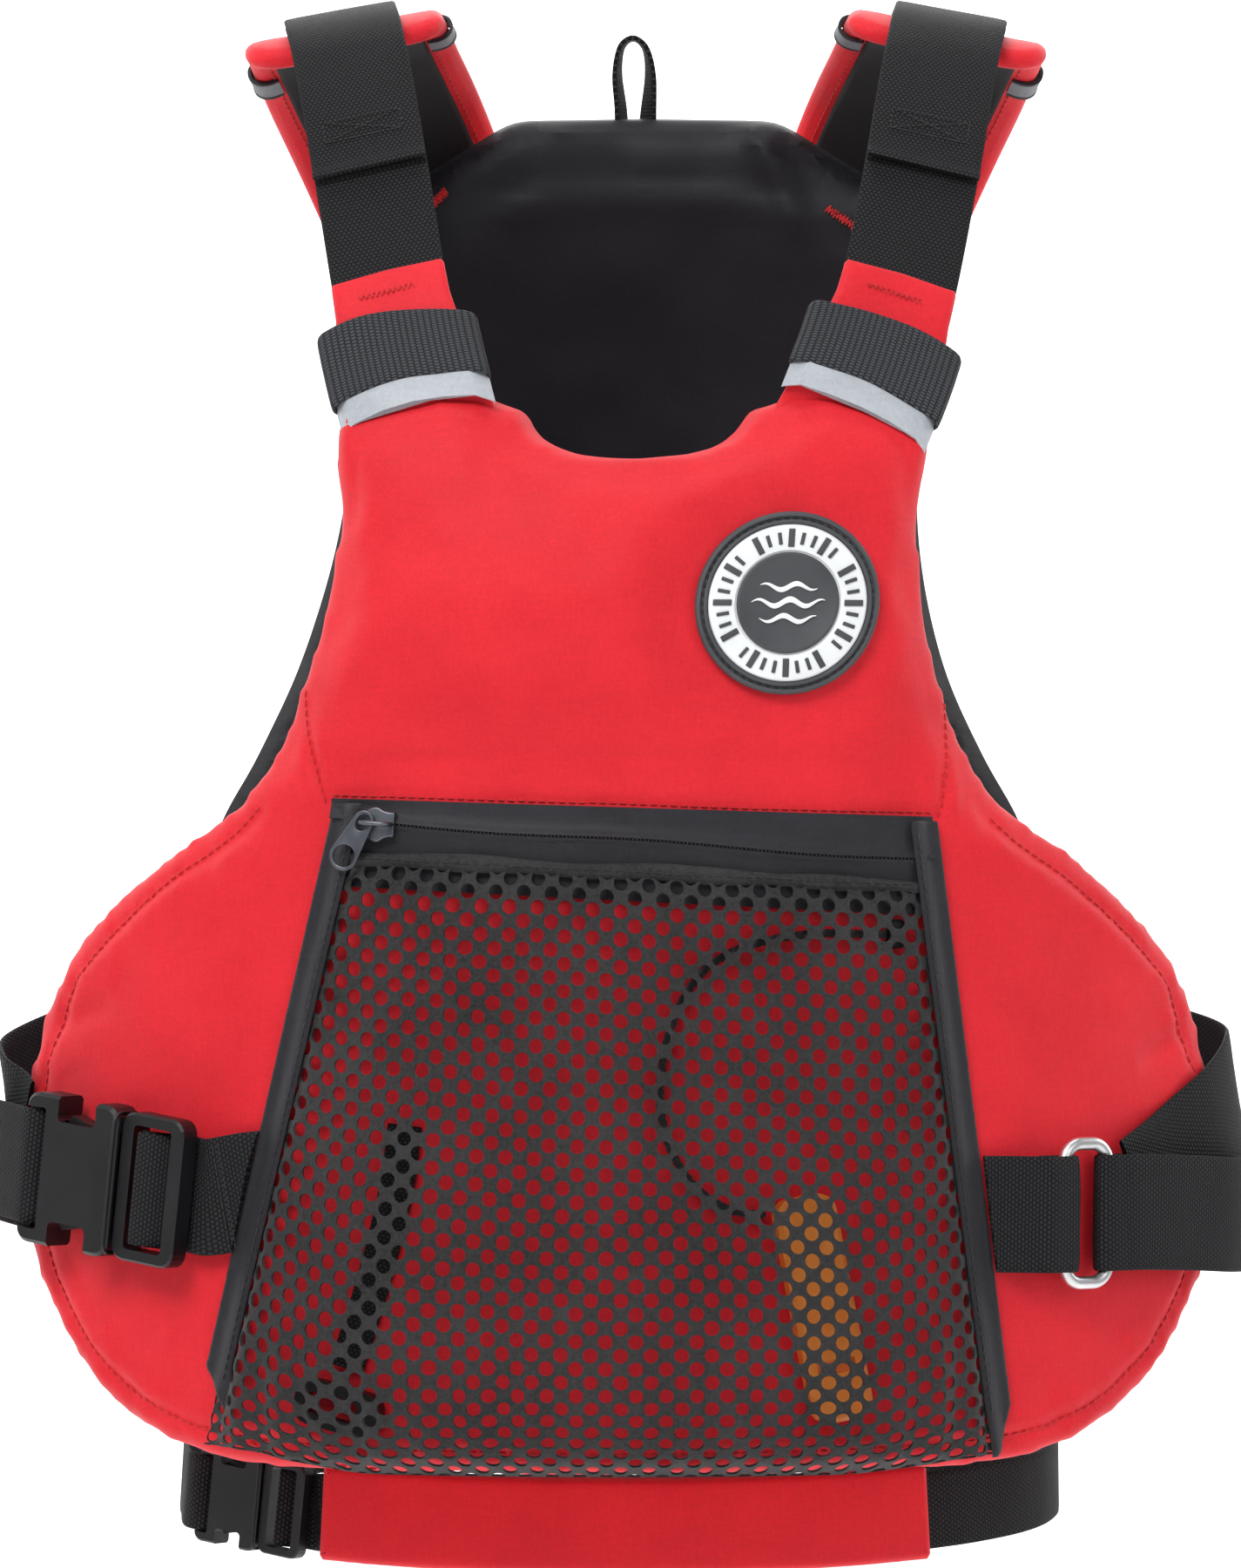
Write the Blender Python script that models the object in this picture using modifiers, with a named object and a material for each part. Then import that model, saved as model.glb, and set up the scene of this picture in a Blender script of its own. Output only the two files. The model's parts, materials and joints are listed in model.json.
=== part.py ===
"""Paddling life jacket: foam front and back panels, shoulder straps, side and waist belts, pocket.

Everything is modelled around the wearer's upright axis, in metres: +X to the viewer's right,
-Y towards the viewer of the front, +Z up, with heights counted from the bottom hem. One empty
then shifts the whole jacket so that the inside top of the hang loop is the origin.
"""
from math import asin, atan, ceil, cos, floor, pi, radians, sin, sqrt

import bmesh
import bpy
from mathutils import Matrix, Vector

# Body shape: both panels are bent round upright cylinders.
BODY_RADIUS = 0.260
FRONT_FACE_Y = -0.125
BACK_FACE_Y = 0.120
FRONT_FOAM = 0.038
BACK_FOAM = 0.030
CHEST_LEAN = 2.2
CHEST_LEAN_FROM = 0.290
BACK_LEAN = 1.0
BACK_LEAN_FROM = 0.330
SHOULDER_SHIFT = 0.0085
EDGE_WIDTH = 0.012
EDGE_DROP = 0.006

# Cloth, gaps and webbing.
CLOTH = 0.0010
GAP = 0.0004
FOAM_CLEARANCE = 0.0012
CUT_MARGIN = 0.0008
WIDE_WEBBING = 0.0381
NARROW_WEBBING = 0.0254
WEBBING = 0.0016

# Pocket.
COIL_HEIGHT = 0.2345
COIL_SLOPE = 0.068
POCKET_BOTTOM = 0.0294
POCKET_BULGE = 0.022
POCKET_STANDOFF = 0.0035
BINDING_WIDTH = 0.0092

# Buckles, in the size that takes the wide webbing.
BUCKLE_WIDTH = 0.050
BUCKLE_THICKNESS = 0.012
BUCKLE_SHOULDER = 0.027
BUCKLE_HOUSING = 0.041
THROAT_LENGTH = 0.010
LATCH_WINDOW_END = 0.0265
LATCH_WALL = 0.017
LATCH_TIP = 0.024
LATCH_ANGLE = radians(16.0)
RELEASE_TRAVEL = 0.025
BAR_HALF = 0.0030
WAIST_BUCKLE_SCALE = 0.65

# Waist belt: an oval round the wearer, tilted up towards the back.
WAIST_HALF_WIDTH = 0.147
WAIST_HALF_DEPTH = 0.083
WAIST_CENTRE_Y = 0.004
WAIST_HEIGHT = 0.0200
WAIST_RISE = 0.137

# Badge and hang loop.
BADGE_X = 0.0525
BADGE_HEIGHT = 0.3114
BADGE_RADIUS = 0.0295
BADGE_TILT = 0.094
BADGE_CENTRE_THICKNESS = 0.0012
LOOP_X = 0.0045
LOOP_Y = 0.083
LOOP_INSIDE_TOP = 0.5095
LOOP_WEBBING = 0.008
LOOP_THICKNESS = 0.0018

FRONT_AXIS_Y = FRONT_FACE_Y + BODY_RADIUS
BACK_AXIS_Y = BACK_FACE_Y - BODY_RADIUS

for item in list(bpy.data.objects):
    bpy.data.objects.remove(item, do_unlink=True)

jacket = bpy.data.collections.new("life_jacket")
cutters = bpy.data.collections.new("cutters")
bpy.context.scene.collection.children.link(jacket)
bpy.context.scene.collection.children.link(cutters)

origin = bpy.data.objects.new("jacket_origin", None)
origin.location = (-LOOP_X, -LOOP_Y, -LOOP_INSIDE_TOP)
jacket.objects.link(origin)


# ---------------------------------------------------------------- materials
def make_material(name, colour, roughness, metallic=0.0):
    made = bpy.data.materials.new(name)
    made.use_nodes = True
    shader = made.node_tree.nodes["Principled BSDF"]
    shader.inputs["Base Color"].default_value = (*colour, 1.0)
    shader.inputs["Roughness"].default_value = roughness
    shader.inputs["Metallic"].default_value = metallic
    made.diffuse_color = (*colour, 1.0)
    return made


RED_CLOTH = make_material("red_cloth", (0.80, 0.060, 0.065), 0.75)
BLACK_CLOTH = make_material("black_cloth", (0.015, 0.015, 0.018), 0.70)
FOAM = make_material("foam", (0.78, 0.78, 0.74), 0.90)
BLACK_WEBBING = make_material("black_webbing", (0.020, 0.020, 0.023), 0.65)
NEOPRENE = make_material("neoprene", (0.012, 0.012, 0.013), 0.90)
REFLECTIVE = make_material("reflective_tape", (0.55, 0.58, 0.62), 0.35)
BLACK_MESH = make_material("black_mesh", (0.018, 0.018, 0.018), 0.80)
BLACK_PLASTIC = make_material("black_plastic", (0.016, 0.016, 0.018), 0.45)
ZIP_METAL = make_material("zip_metal", (0.16, 0.17, 0.19), 0.40, 0.8)
STEEL = make_material("steel", (0.75, 0.75, 0.76), 0.30, 1.0)
ORANGE_PLASTIC = make_material("orange_plastic", (0.95, 0.20, 0.02), 0.40)
BADGE_DARK = make_material("badge_dark", (0.065, 0.068, 0.075), 0.55)
BADGE_LIGHT = make_material("badge_light", (0.75, 0.80, 0.82), 0.50)


# ---------------------------------------------------------------- geometry helpers
def smooth_step(low, high, value):
    t = min(1.0, max(0.0, (value - low) / (high - low)))
    return t * t * (3.0 - 2.0 * t)


def sideways(height):
    """How far the shoulders sit to one side of the hem."""
    return SHOULDER_SHIFT * smooth_step(0.270, 0.450, height)


def front(across, depth, height):
    """A point of the front panel: depth is counted outwards from its face."""
    angle = asin(across / BODY_RADIUS)
    radius = BODY_RADIUS + depth
    lean = CHEST_LEAN * max(0.0, height - CHEST_LEAN_FROM) ** 2
    return Vector((radius * sin(angle) + sideways(height), FRONT_AXIS_Y - radius * cos(angle) + lean, height))


def back(across, depth, height):
    """A point of the back panel: depth is counted outwards from its face."""
    angle = asin(across / BODY_RADIUS)
    radius = BODY_RADIUS + depth
    lean = BACK_LEAN * max(0.0, height - BACK_LEAN_FROM) ** 2
    return Vector((radius * sin(angle) + sideways(height), BACK_AXIS_Y + radius * cos(angle) - lean, height))


def spline(points, per_span=6):
    """A smooth line through the points (Catmull-Rom)."""
    pts = [Vector(p) for p in points]
    padded = [pts[0] * 2 - pts[1]] + pts + [pts[-1] * 2 - pts[-2]]
    line = []
    for a, b, c, d in zip(padded, padded[1:], padded[2:], padded[3:]):
        for step in range(per_span):
            t = step / per_span
            line.append(0.5 * (2 * b + (c - a) * t + (2 * a - 5 * b + 4 * c - d) * t * t
                               + (3 * b - a - 3 * c + d) * t ** 3))
    line.append(pts[-1])
    return line


def mirrored(half):
    """A closed outline from its right half, listed from the bottom to the top."""
    left = [(-x, z) for x, z in reversed(half) if x > 1e-6]
    return [(x, z) for x, z in half] + left


def rounded_box(width, height, radius, steps=3, centre=(0.0, 0.0)):
    outline = []
    corners = ((1, -1, -pi / 2), (1, 1, 0.0), (-1, 1, pi / 2), (-1, -1, pi))
    for side_x, side_z, start in corners:
        for step in range(steps + 1):
            turn = start + step / steps * pi / 2
            outline.append((centre[0] + side_x * (width / 2 - radius) + radius * cos(turn),
                            centre[1] + side_z * (height / 2 - radius) + radius * sin(turn)))
    return outline


def circle(radius, steps=32):
    return [(radius * cos(2 * pi * i / steps), radius * sin(2 * pi * i / steps)) for i in range(steps)]


class Ribbon:
    """A strip's centre line with its width direction; place() works like front() and back()."""

    def __init__(self, points, side_start, side_end=None, step=0.004):
        raw = spline(points, 12)
        lengths = [0.0]
        for p, q in zip(raw, raw[1:]):
            lengths.append(lengths[-1] + (q - p).length)
        self.length = lengths[-1]
        count = max(4, ceil(self.length / step))
        self.points = []
        k = 0
        for i in range(count + 1):
            want = self.length * i / count
            while k < len(raw) - 2 and lengths[k + 1] < want:
                k += 1
            part = (want - lengths[k]) / (lengths[k + 1] - lengths[k])
            self.points.append(raw[k].lerp(raw[k + 1], part))
        self.count = count
        self.sides = (Vector(side_start), Vector(side_end or side_start))

    def frame(self, along):
        at = min(max(along / self.length, 0.0), 1.0) * self.count
        k = min(int(at), self.count - 1)
        point = self.points[k].lerp(self.points[k + 1], at - k)
        before = self.points[max(k - 1, 0)]
        after = self.points[min(k + 2, self.count)]
        here = (self.points[k + 1] - before).normalized()
        ahead = (after - self.points[k]).normalized()
        tangent = here.lerp(ahead, at - k).normalized()
        side = self.sides[0].lerp(self.sides[1], at / self.count)
        side = (side - tangent * side.dot(tangent)).normalized()
        return point, tangent, side

    def place(self, along, depth, across):
        point, tangent, side = self.frame(along)
        return point + side * across + side.cross(tangent) * depth

    def at_height(self, height):
        """How far along the line it first reaches a height."""
        for i, (p, q) in enumerate(zip(self.points, self.points[1:])):
            if p.z <= height <= q.z:
                return (i + (height - p.z) / (q.z - p.z)) / self.count * self.length
        raise ValueError("the ribbon never reaches that height")


# ---------------------------------------------------------------- object helpers
def add_object(name, mesh, material, collection=jacket, parent=origin, matrix=None):
    made = bpy.data.objects.new(name, mesh)
    collection.objects.link(made)
    made.parent = parent
    if matrix is not None:
        made.matrix_basis = matrix
    if material is not None:
        mesh.materials.append(material)
    if collection is cutters:
        made.hide_render = True
        made.display_type = "WIRE"
    return made


def move_origin(made, pivot):
    """Put an object's origin at a pivot, given in its parent's space."""
    made.data.transform(Matrix.Translation(-Vector(pivot)))
    made.location = pivot


def flat_sheet(outline, inset=0.0, rim=(0.0, 0.0), cuts=(None, None)):
    """A flat face in the XZ plane, cut into a grid; its rim may be pushed back along Y."""
    sheet = bmesh.new()
    sheet.faces.new([sheet.verts.new((u, 0.0, v)) for u, v in outline])
    sheet.normal_update()
    if inset > 0.0:
        ring = bmesh.ops.inset_region(sheet, faces=sheet.faces[:], thickness=inset, use_even_offset=True,
                                       use_boundary=True)
        bmesh.ops.delete(sheet, geom=ring["faces"], context="FACES")
    width, drop = rim
    if width > 0.0:
        edge_verts = [v for v in sheet.verts if v.is_boundary]
        bmesh.ops.inset_region(sheet, faces=sheet.faces[:], thickness=width, use_even_offset=True,
                               use_boundary=True)
        for vert in edge_verts:
            vert.co.y = -drop
    for axis, step in zip((Vector((1, 0, 0)), Vector((0, 0, 1))), cuts):
        if step is None:
            continue
        reach = [v.co.dot(axis) for v in sheet.verts]
        # cut on whole multiples of the step, so that stacked layers bend at the same places
        for i in range(ceil((min(reach) + CUT_MARGIN) / step), floor((max(reach) - CUT_MARGIN) / step) + 1):
            bmesh.ops.bisect_plane(sheet, geom=sheet.verts[:] + sheet.edges[:] + sheet.faces[:],
                                   dist=2e-5, plane_co=axis * (i * step), plane_no=axis)
    return sheet


def bend(sheet, place, name):
    for vert in sheet.verts:
        vert.co = place(vert.co.x, vert.co.y, vert.co.z)
    mesh = bpy.data.meshes.new(name)
    sheet.to_mesh(mesh)
    sheet.free()
    return mesh


def slab(name, outline, place, low, high, material, inset=0.0, rim=(0.0, 0.0), cuts=(None, None),
         collection=jacket, parent=origin, matrix=None):
    """A closed plate of an outline between two depths, bent by place(u, depth, v)."""
    sheet = flat_sheet(outline, inset, rim, cuts)
    bottom = bmesh.ops.extrude_face_region(sheet, geom=sheet.faces[:])["geom"]
    lower = {v for v in bottom if isinstance(v, bmesh.types.BMVert)}
    for vert in sheet.verts:
        vert.co.y = low if vert in lower else high + vert.co.y
    bmesh.ops.recalc_face_normals(sheet, faces=sheet.faces[:])
    mesh = bend(sheet, place, name)
    made = add_object(name, mesh, material, collection, parent, matrix)
    check = bmesh.new()
    check.from_mesh(mesh)
    if check.calc_volume(signed=True) < 0.0:
        bmesh.ops.reverse_faces(check, faces=check.faces[:])
        check.to_mesh(mesh)
    check.free()
    return made


def prism(name, outline, low, high, material, matrix=None, bevel=0.0, collection=jacket, parent=origin):
    """A straight plate in its own XZ plane, low to high along its own Y."""
    made = slab(name, outline, lambda u, d, v: Vector((u, d, v)), low, high, material,
                collection=collection, parent=parent, matrix=matrix)
    if bevel > 0.0:
        add_bevel(made, bevel)
    return made


def add_bevel(made, width, segments=1):
    edge = made.modifiers.new("rounded_edges", "BEVEL")
    edge.width = width
    edge.segments = segments
    edge.limit_method = "ANGLE"
    edge.angle_limit = radians(50.0)


def cut(made, cutter, operation="DIFFERENCE"):
    tool = made.modifiers.new(cutter.name, "BOOLEAN")
    tool.operation = operation
    tool.object = cutter
    tool.solver = "EXACT"


def cloth_pan(name, outline, place, depth, material, cuts):
    """A sewn outer cover: its face and sides as one open sheet, thickened inwards."""
    sheet = flat_sheet(outline, 0.0, (EDGE_WIDTH, EDGE_DROP), cuts)
    rim_edges = [e for e in sheet.edges if e.is_boundary]
    side = bmesh.ops.extrude_edge_only(sheet, edges=rim_edges)["geom"]
    for vert in side:
        if isinstance(vert, bmesh.types.BMVert):
            vert.co.y = -depth
    bmesh.ops.recalc_face_normals(sheet, faces=sheet.faces[:])
    sheet.normal_update()
    middle = max(sheet.faces, key=lambda f: f.calc_area() if abs(f.normal.y) > 0.99 else 0.0)
    if middle.normal.y < 0.0:
        bmesh.ops.reverse_faces(sheet, faces=sheet.faces[:])
    if place is front:
        # depth grows towards -Y on the front, which mirrors the sheet
        bmesh.ops.reverse_faces(sheet, faces=sheet.faces[:])
    made = add_object(name, bend(sheet, place, name), material)
    wall = made.modifiers.new("cloth", "SOLIDIFY")
    wall.thickness = CLOTH
    wall.offset = -1.0
    wall.use_even_offset = True
    return made


def smooth_shading(made, angle=40.0):
    made.data.shade_smooth()
    made.data.set_sharp_from_angle(angle=radians(angle))


# ---------------------------------------------------------------- front and back panels
FRONT_HALF = ([(0.000, 0.0255), (0.060, 0.0260), (0.108, 0.0275)]
              + [(p.x, p.y) for p in spline([(0.130, 0.0292, 0), (0.156, 0.0370, 0), (0.180, 0.0550, 0),
                                             (0.199, 0.0880, 0), (0.2055, 0.1260, 0), (0.2020, 0.1570, 0),
                                             (0.1890, 0.1950, 0), (0.1580, 0.2275, 0), (0.1300, 0.2480, 0),
                                             (0.1130, 0.2790, 0), (0.1025, 0.3180, 0), (0.0980, 0.3500, 0),
                                             (0.0970, 0.3680, 0)], 2)]
              + [(0.045, 0.3800), (0.0415, 0.3725), (0.0335, 0.3662), (0.0200, 0.3625), (0.000, 0.3610)])
BACK_HALF = ([(0.000, 0.0300), (0.090, 0.0310)]
             + [(p.x, p.y) for p in spline([(0.122, 0.0360, 0), (0.145, 0.0600, 0), (0.153, 0.1000, 0),
                                            (0.155, 0.1500, 0), (0.152, 0.2000, 0), (0.142, 0.2350, 0),
                                            (0.128, 0.2600, 0), (0.112, 0.2950, 0), (0.101, 0.3400, 0),
                                            (0.099, 0.3900, 0), (0.104, 0.4440, 0)], 2)]
             + [(0.082, 0.4560), (0.047, 0.4765), (0.000, 0.4775)])
PANEL_CUTS = (0.030, 0.045)


def make_panel(side, half, place, thickness, cover_name):
    outline = mirrored(half)
    cloth_pan(cover_name, outline, place, thickness, RED_CLOTH, PANEL_CUTS)
    slab(side + "_foam", outline, place, -thickness + CLOTH + FOAM_CLEARANCE, -CLOTH - FOAM_CLEARANCE, FOAM,
         inset=CLOTH + FOAM_CLEARANCE, rim=(EDGE_WIDTH, EDGE_DROP), cuts=PANEL_CUTS)
    slab(side + "_lining", outline, place, -thickness, -thickness + CLOTH, BLACK_CLOTH,
         inset=CLOTH + FOAM_CLEARANCE, cuts=PANEL_CUTS)


make_panel("front", FRONT_HALF, front, FRONT_FOAM, "front_cover")
make_panel("back", BACK_HALF, back, BACK_FOAM, "back_cover")

# ---------------------------------------------------------------- hang loop
LOOP_LINE = [(-0.0030, 0.4785), (-0.0042, 0.4860), (-0.0050, 0.4980), (-0.0036, 0.5070),
             (0.0, 0.5104), (0.0036, 0.5070), (0.0050, 0.4980), (0.0042, 0.4860), (0.0030, 0.4785)]
loop_line = Ribbon([(LOOP_X + x, LOOP_Y, z) for x, z in LOOP_LINE], (0, 1, 0), step=0.002)
slab("hang_loop", rounded_box(loop_line.length, LOOP_WEBBING, 0.0002, 1, (loop_line.length / 2, 0)),
     loop_line.place, -LOOP_THICKNESS / 2, LOOP_THICKNESS / 2, BLACK_WEBBING, cuts=(0.003, None))

# ---------------------------------------------------------------- shoulders
SHOULDER_LINE = [(0.0715, -0.0985, 0.3730), (0.0785, -0.0865, 0.3950), (0.0845, -0.0740, 0.4200),
                 (0.0910, -0.0560, 0.4550), (0.0965, -0.0360, 0.4850), (0.1005, -0.0150, 0.5030),
                 (0.1030, 0.0080, 0.5110), (0.1020, 0.0300, 0.5085), (0.0980, 0.0560, 0.4985),
                 (0.0920, 0.0800, 0.4850), (0.0855, 0.0985, 0.4690), (0.0795, 0.1110, 0.4525),
                 (0.0750, 0.1185, 0.4370)]
SHOULDER_TURN = radians(18.0)
SHOULDER_SLOPE = 0.32
TAB_TOP = 0.0550
KEEPER_START = 0.0090
TAPE_WIDTH = 0.0070
PAD_BAND_FROM = 0.047
PAD_BAND_WIDTH = 0.010


def strip(name, line, start, end, width, low, high, material, step=0.008, corner=0.0003):
    outline = rounded_box(end - start, width, corner, 1, ((start + end) / 2, 0.0))
    return slab(name, outline, line.place, low, high, material, cuts=(step, None))


def make_shoulder(side, sign):
    points = [(sign * x + sideways(z), y, z) for x, y, z in SHOULDER_LINE]
    start = (cos(SHOULDER_TURN), sign * sin(SHOULDER_TURN), 0.0)
    end = (cos(SHOULDER_TURN), -sign * sin(SHOULDER_TURN), -sign * SHOULDER_SLOPE)
    line = Ribbon(points, start, end)
    finish = line.length

    tab = [(0.0, -0.0240), (TAB_TOP, -0.0180), (TAB_TOP, 0.0180), (0.0, 0.0240)]
    slab("shoulder_tab_" + side, tab, line.place, -0.0015, 0.0015, RED_CLOTH, cuts=(0.010, None))
    strip("shoulder_webbing_" + side, line, TAB_TOP + GAP, finish - 0.001, WIDE_WEBBING,
          -WEBBING / 2, WEBBING / 2, BLACK_WEBBING)
    tail = line.at_height(0.4545)
    strip("strap_tail_" + side, line, tail, finish - 0.030, WIDE_WEBBING,
          WEBBING / 2 + GAP, WEBBING * 1.5 + GAP, BLACK_WEBBING)

    keeper_end = KEEPER_START + NARROW_WEBBING
    keeper = strip("keeper_band_" + side, line, KEEPER_START, keeper_end, 0.0502, -0.0037, 0.0037,
                   BLACK_WEBBING, step=0.013)
    hollow = slab("keeper_hollow_" + side,
                  rounded_box(NARROW_WEBBING + 0.010, 0.0470, 0.0003, 1,
                              ((KEEPER_START + keeper_end) / 2 + 0.001, 0.0)),
                  line.place, -0.0021, 0.0021, None, cuts=(0.006, None), collection=cutters)
    cut(keeper, hollow)
    strip("reflective_tape_" + side, line, KEEPER_START - TAPE_WIDTH - GAP, KEEPER_START - GAP, 0.0490,
          0.0015 + GAP, 0.0027, REFLECTIVE)

    pad_start = line.at_height(0.5040)
    pad_end = finish - 0.004
    pad_middle = ((pad_start + pad_end) / 2, 0.0)
    pad_length = pad_end - pad_start
    slab("shoulder_pad_" + side, rounded_box(pad_length, 0.066, 0.012, 4, pad_middle), line.place,
         -0.0062, -0.0030, RED_CLOTH, cuts=(0.010, 0.013))
    slab("pad_neoprene_" + side, rounded_box(pad_length - 0.012, 0.052, 0.008, 4, pad_middle), line.place,
         -0.0102, -0.0070, NEOPRENE, cuts=(0.010, 0.013))
    band_start = pad_start + PAD_BAND_FROM
    strip("pad_reflective_band_" + side, line, band_start, band_start + PAD_BAND_WIDTH, 0.0680,
          -0.0027, -0.0015, REFLECTIVE, step=0.004)


for side_name, side_sign in (("left", -1.0), ("right", 1.0)):
    make_shoulder(side_name, side_sign)

# ---------------------------------------------------------------- badge
def badge_disc(name, radius, low, high, material, collection=jacket):
    return slab(name, circle(radius, 28), lambda u, d, v: front(BADGE_X + u, d, BADGE_HEIGHT + v), low, high,
                material, cuts=(0.012, 0.012), collection=collection)


badge_rim = badge_disc("badge_rim", BADGE_RADIUS, GAP, 0.0026, BADGE_DARK)
cut(badge_rim, badge_disc("badge_rim_recess", 0.0263, 0.0014, 0.0060, None, cutters))
badge_ring = badge_disc("badge_ring", 0.0258, 0.0018, 0.0030, BADGE_LIGHT)
cut(badge_ring, badge_disc("badge_ring_hole", 0.0170, 0.0, 0.0060, None, cutters))
badge_turn = asin(BADGE_X / BODY_RADIUS)
badge_matrix = Matrix.Translation(front(BADGE_X, 0.0030, BADGE_HEIGHT)) @ Matrix.Rotation(badge_turn, 4, "Z")
badge_matrix = badge_matrix @ Matrix.Rotation(-BADGE_TILT, 4, "X")
prism("badge_centre", circle(0.0160, 28), -BADGE_CENTRE_THICKNESS / 2, BADGE_CENTRE_THICKNESS / 2, BADGE_DARK,
      badge_matrix)


# ---------------------------------------------------------------- pocket
def coil_height(across):
    return COIL_HEIGHT - COIL_SLOPE * across


def pocket_left(height):
    """Inner edge of the left binding."""
    return -0.0865 - 0.0395 * (0.2305 - height) / 0.1717


def pocket_right(height):
    """Inner edge of the right binding."""
    return 0.0955 + 0.0230 * (0.2208 - height) / 0.1813


def pocket_top(across):
    return 0.2440 - 0.031 * across


def hem_drop(height):
    return EDGE_DROP * max(0.0, 0.0345 - height) / EDGE_WIDTH


def mesh_place(across, depth, height):
    """The pocket's mesh: flat at its sewn edges, standing off and bulging between them."""
    left = pocket_left(height)
    right = pocket_right(height)
    to_side = min(across - left, right - across)
    top = 0.2256 - 0.050 * across
    fallen = min(1.0, max(0.0, (top - height) / (top - POCKET_BOTTOM)))
    middle = (across - (left + right) / 2) / ((right - left) / 2)
    standoff = POCKET_STANDOFF * smooth_step(0.0, 0.005, to_side) * smooth_step(0.0, 0.05, fallen)
    standoff *= smooth_step(0.0, 0.03, 1.0 - fallen)
    bulge = POCKET_BULGE * 1.1 * fallen ** 1.2 * (1.0 - fallen ** 14) * max(0.0, 1.0 - middle ** 6)
    return front(across, depth + standoff + bulge - hem_drop(height), height)


def mesh_outline():
    top = [(x, 0.2256 - 0.050 * x) for x in (-0.0860, -0.043, 0.0, 0.048, 0.0948)]
    left = [(pocket_left(z) + GAP, z) for z in (0.190, 0.150, 0.110, 0.075, 0.052)]
    bottom = [(-0.1210, 0.0375), (-0.1040, 0.0328), (-0.0750, 0.0300), (-0.0350, POCKET_BOTTOM),
              (0.0, POCKET_BOTTOM), (0.0400, POCKET_BOTTOM), (0.0820, 0.0300), (0.1100, 0.0335)]
    right = [(pocket_right(z) - GAP, z) for z in (0.042, 0.080, 0.120, 0.160, 0.190)]
    return list(reversed(top)) + left + bottom + right


slab("pocket_mesh", mesh_outline(), mesh_place, 0.0019, 0.0027, BLACK_MESH, cuts=(0.013, 0.013))


def make_binding(side, edge, outward, heights, foot):
    inner = [(edge(z), z) for z in heights]
    outer = [(edge(z) + outward * BINDING_WIDTH, z) for z in reversed(heights)]
    if outward > 0:
        outline = list(reversed(inner + foot + outer))
    else:
        outline = inner + foot + outer
    slab("pocket_binding_" + side, outline, lambda u, d, v: front(u, d - hem_drop(v), v), GAP, 0.0022,
         BLACK_CLOTH, cuts=(None, 0.035))


make_binding("left", pocket_left, -1.0, (0.2455, 0.200, 0.150, 0.100, 0.062), [(-0.1236, 0.0480)])
make_binding("right", pocket_right, 1.0, (0.2398, 0.200, 0.150, 0.100, 0.050), [(0.1200, 0.0345)])

TAPE_XS = (0.0922, 0.050, 0.0, -0.044, -0.0830)
upper_tape = [(x, coil_height(x) + 0.0016) for x in reversed(TAPE_XS)] + [(x, pocket_top(x)) for x in TAPE_XS]
lower_tape = [(x, 0.2216 - 0.050 * x) for x in reversed(TAPE_XS)] + [(x, coil_height(x) - 0.0016) for x in TAPE_XS]
coil = [(x, coil_height(x) - 0.0012) for x in reversed(TAPE_XS)] + [(x, coil_height(x) + 0.0012) for x in TAPE_XS]
slab("zip_tape_upper", upper_tape, front, GAP, 0.0014, BLACK_CLOTH, cuts=(0.012, None))
slab("zip_tape_lower", lower_tape, front, GAP, 0.0014, BLACK_CLOTH, cuts=(0.012, None))
slab("zip_coil", coil, front, GAP, 0.0024, BLACK_PLASTIC, cuts=(0.012, None))

# Zip slider and puller: the slider runs round the panel's cylinder, in the coil's tilted plane.
SLIDER_X = -0.0765
slope = atan(COIL_SLOPE)
slider_axis = bpy.data.objects.new("zip_slide_axis", None)
slider_axis.location = (0.0, FRONT_AXIS_Y, COIL_HEIGHT)
slider_axis.rotation_euler = (0.0, slope, 0.0)
slider_axis.parent = origin
jacket.objects.link(slider_axis)
slider_turn = asin(SLIDER_X * cos(slope) / BODY_RADIUS)
slider_frame = Matrix.Rotation(slider_turn, 4, "Z") @ Matrix.Translation((0.0, -BODY_RADIUS, 0.0))
slider_frame = slider_frame @ Matrix.Rotation(pi, 4, "Z")
# In the slider's frame +Y points out of the panel, +X towards the zip's start, +Z up.
slider_body = [(0.0066, -0.0034), (0.0066, 0.0034), (0.0040, 0.0048), (0.0010, 0.0050), (-0.0012, 0.0042),
               (-0.0042, 0.0040), (-0.0042, -0.0040), (-0.0012, -0.0042), (0.0010, -0.0050), (0.0040, -0.0048)]
slider = prism("zip_slider", slider_body, 0.0028, 0.0047, ZIP_METAL, slider_frame, parent=slider_axis)
BRIDGE_START = -0.0032
BRIDGE_END = 0.0060
for post_name, post_x in (("bridge_post_a", BRIDGE_START), ("bridge_post_b", BRIDGE_END)):
    post = prism(post_name, rounded_box(0.0012, 0.0016, 0.0002, 1, (post_x, 0.0)), 0.0040, 0.0098, None,
                 slider_frame, collection=cutters, parent=slider_axis)
    cut(slider, post, "UNION")
bar_outline = rounded_box(BRIDGE_END - BRIDGE_START + 0.0008, 0.0014, 0.0002, 1,
                          ((BRIDGE_START + BRIDGE_END) / 2, 0.0))
bar = prism("bridge_bar", bar_outline, 0.0084, 0.0096, None, slider_frame, collection=cutters,
            parent=slider_axis)
cut(slider, bar, "UNION")

PULLER_TILT = radians(30.0)
PULLER_HEIGHT = 0.0072
PULLER_X = BRIDGE_END - 0.0036
puller_frame = slider_frame @ Matrix.Translation((PULLER_X, PULLER_HEIGHT, 0.0))
puller_frame = puller_frame @ Matrix.Rotation(pi / 2 - PULLER_TILT, 4, "Y")
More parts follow.
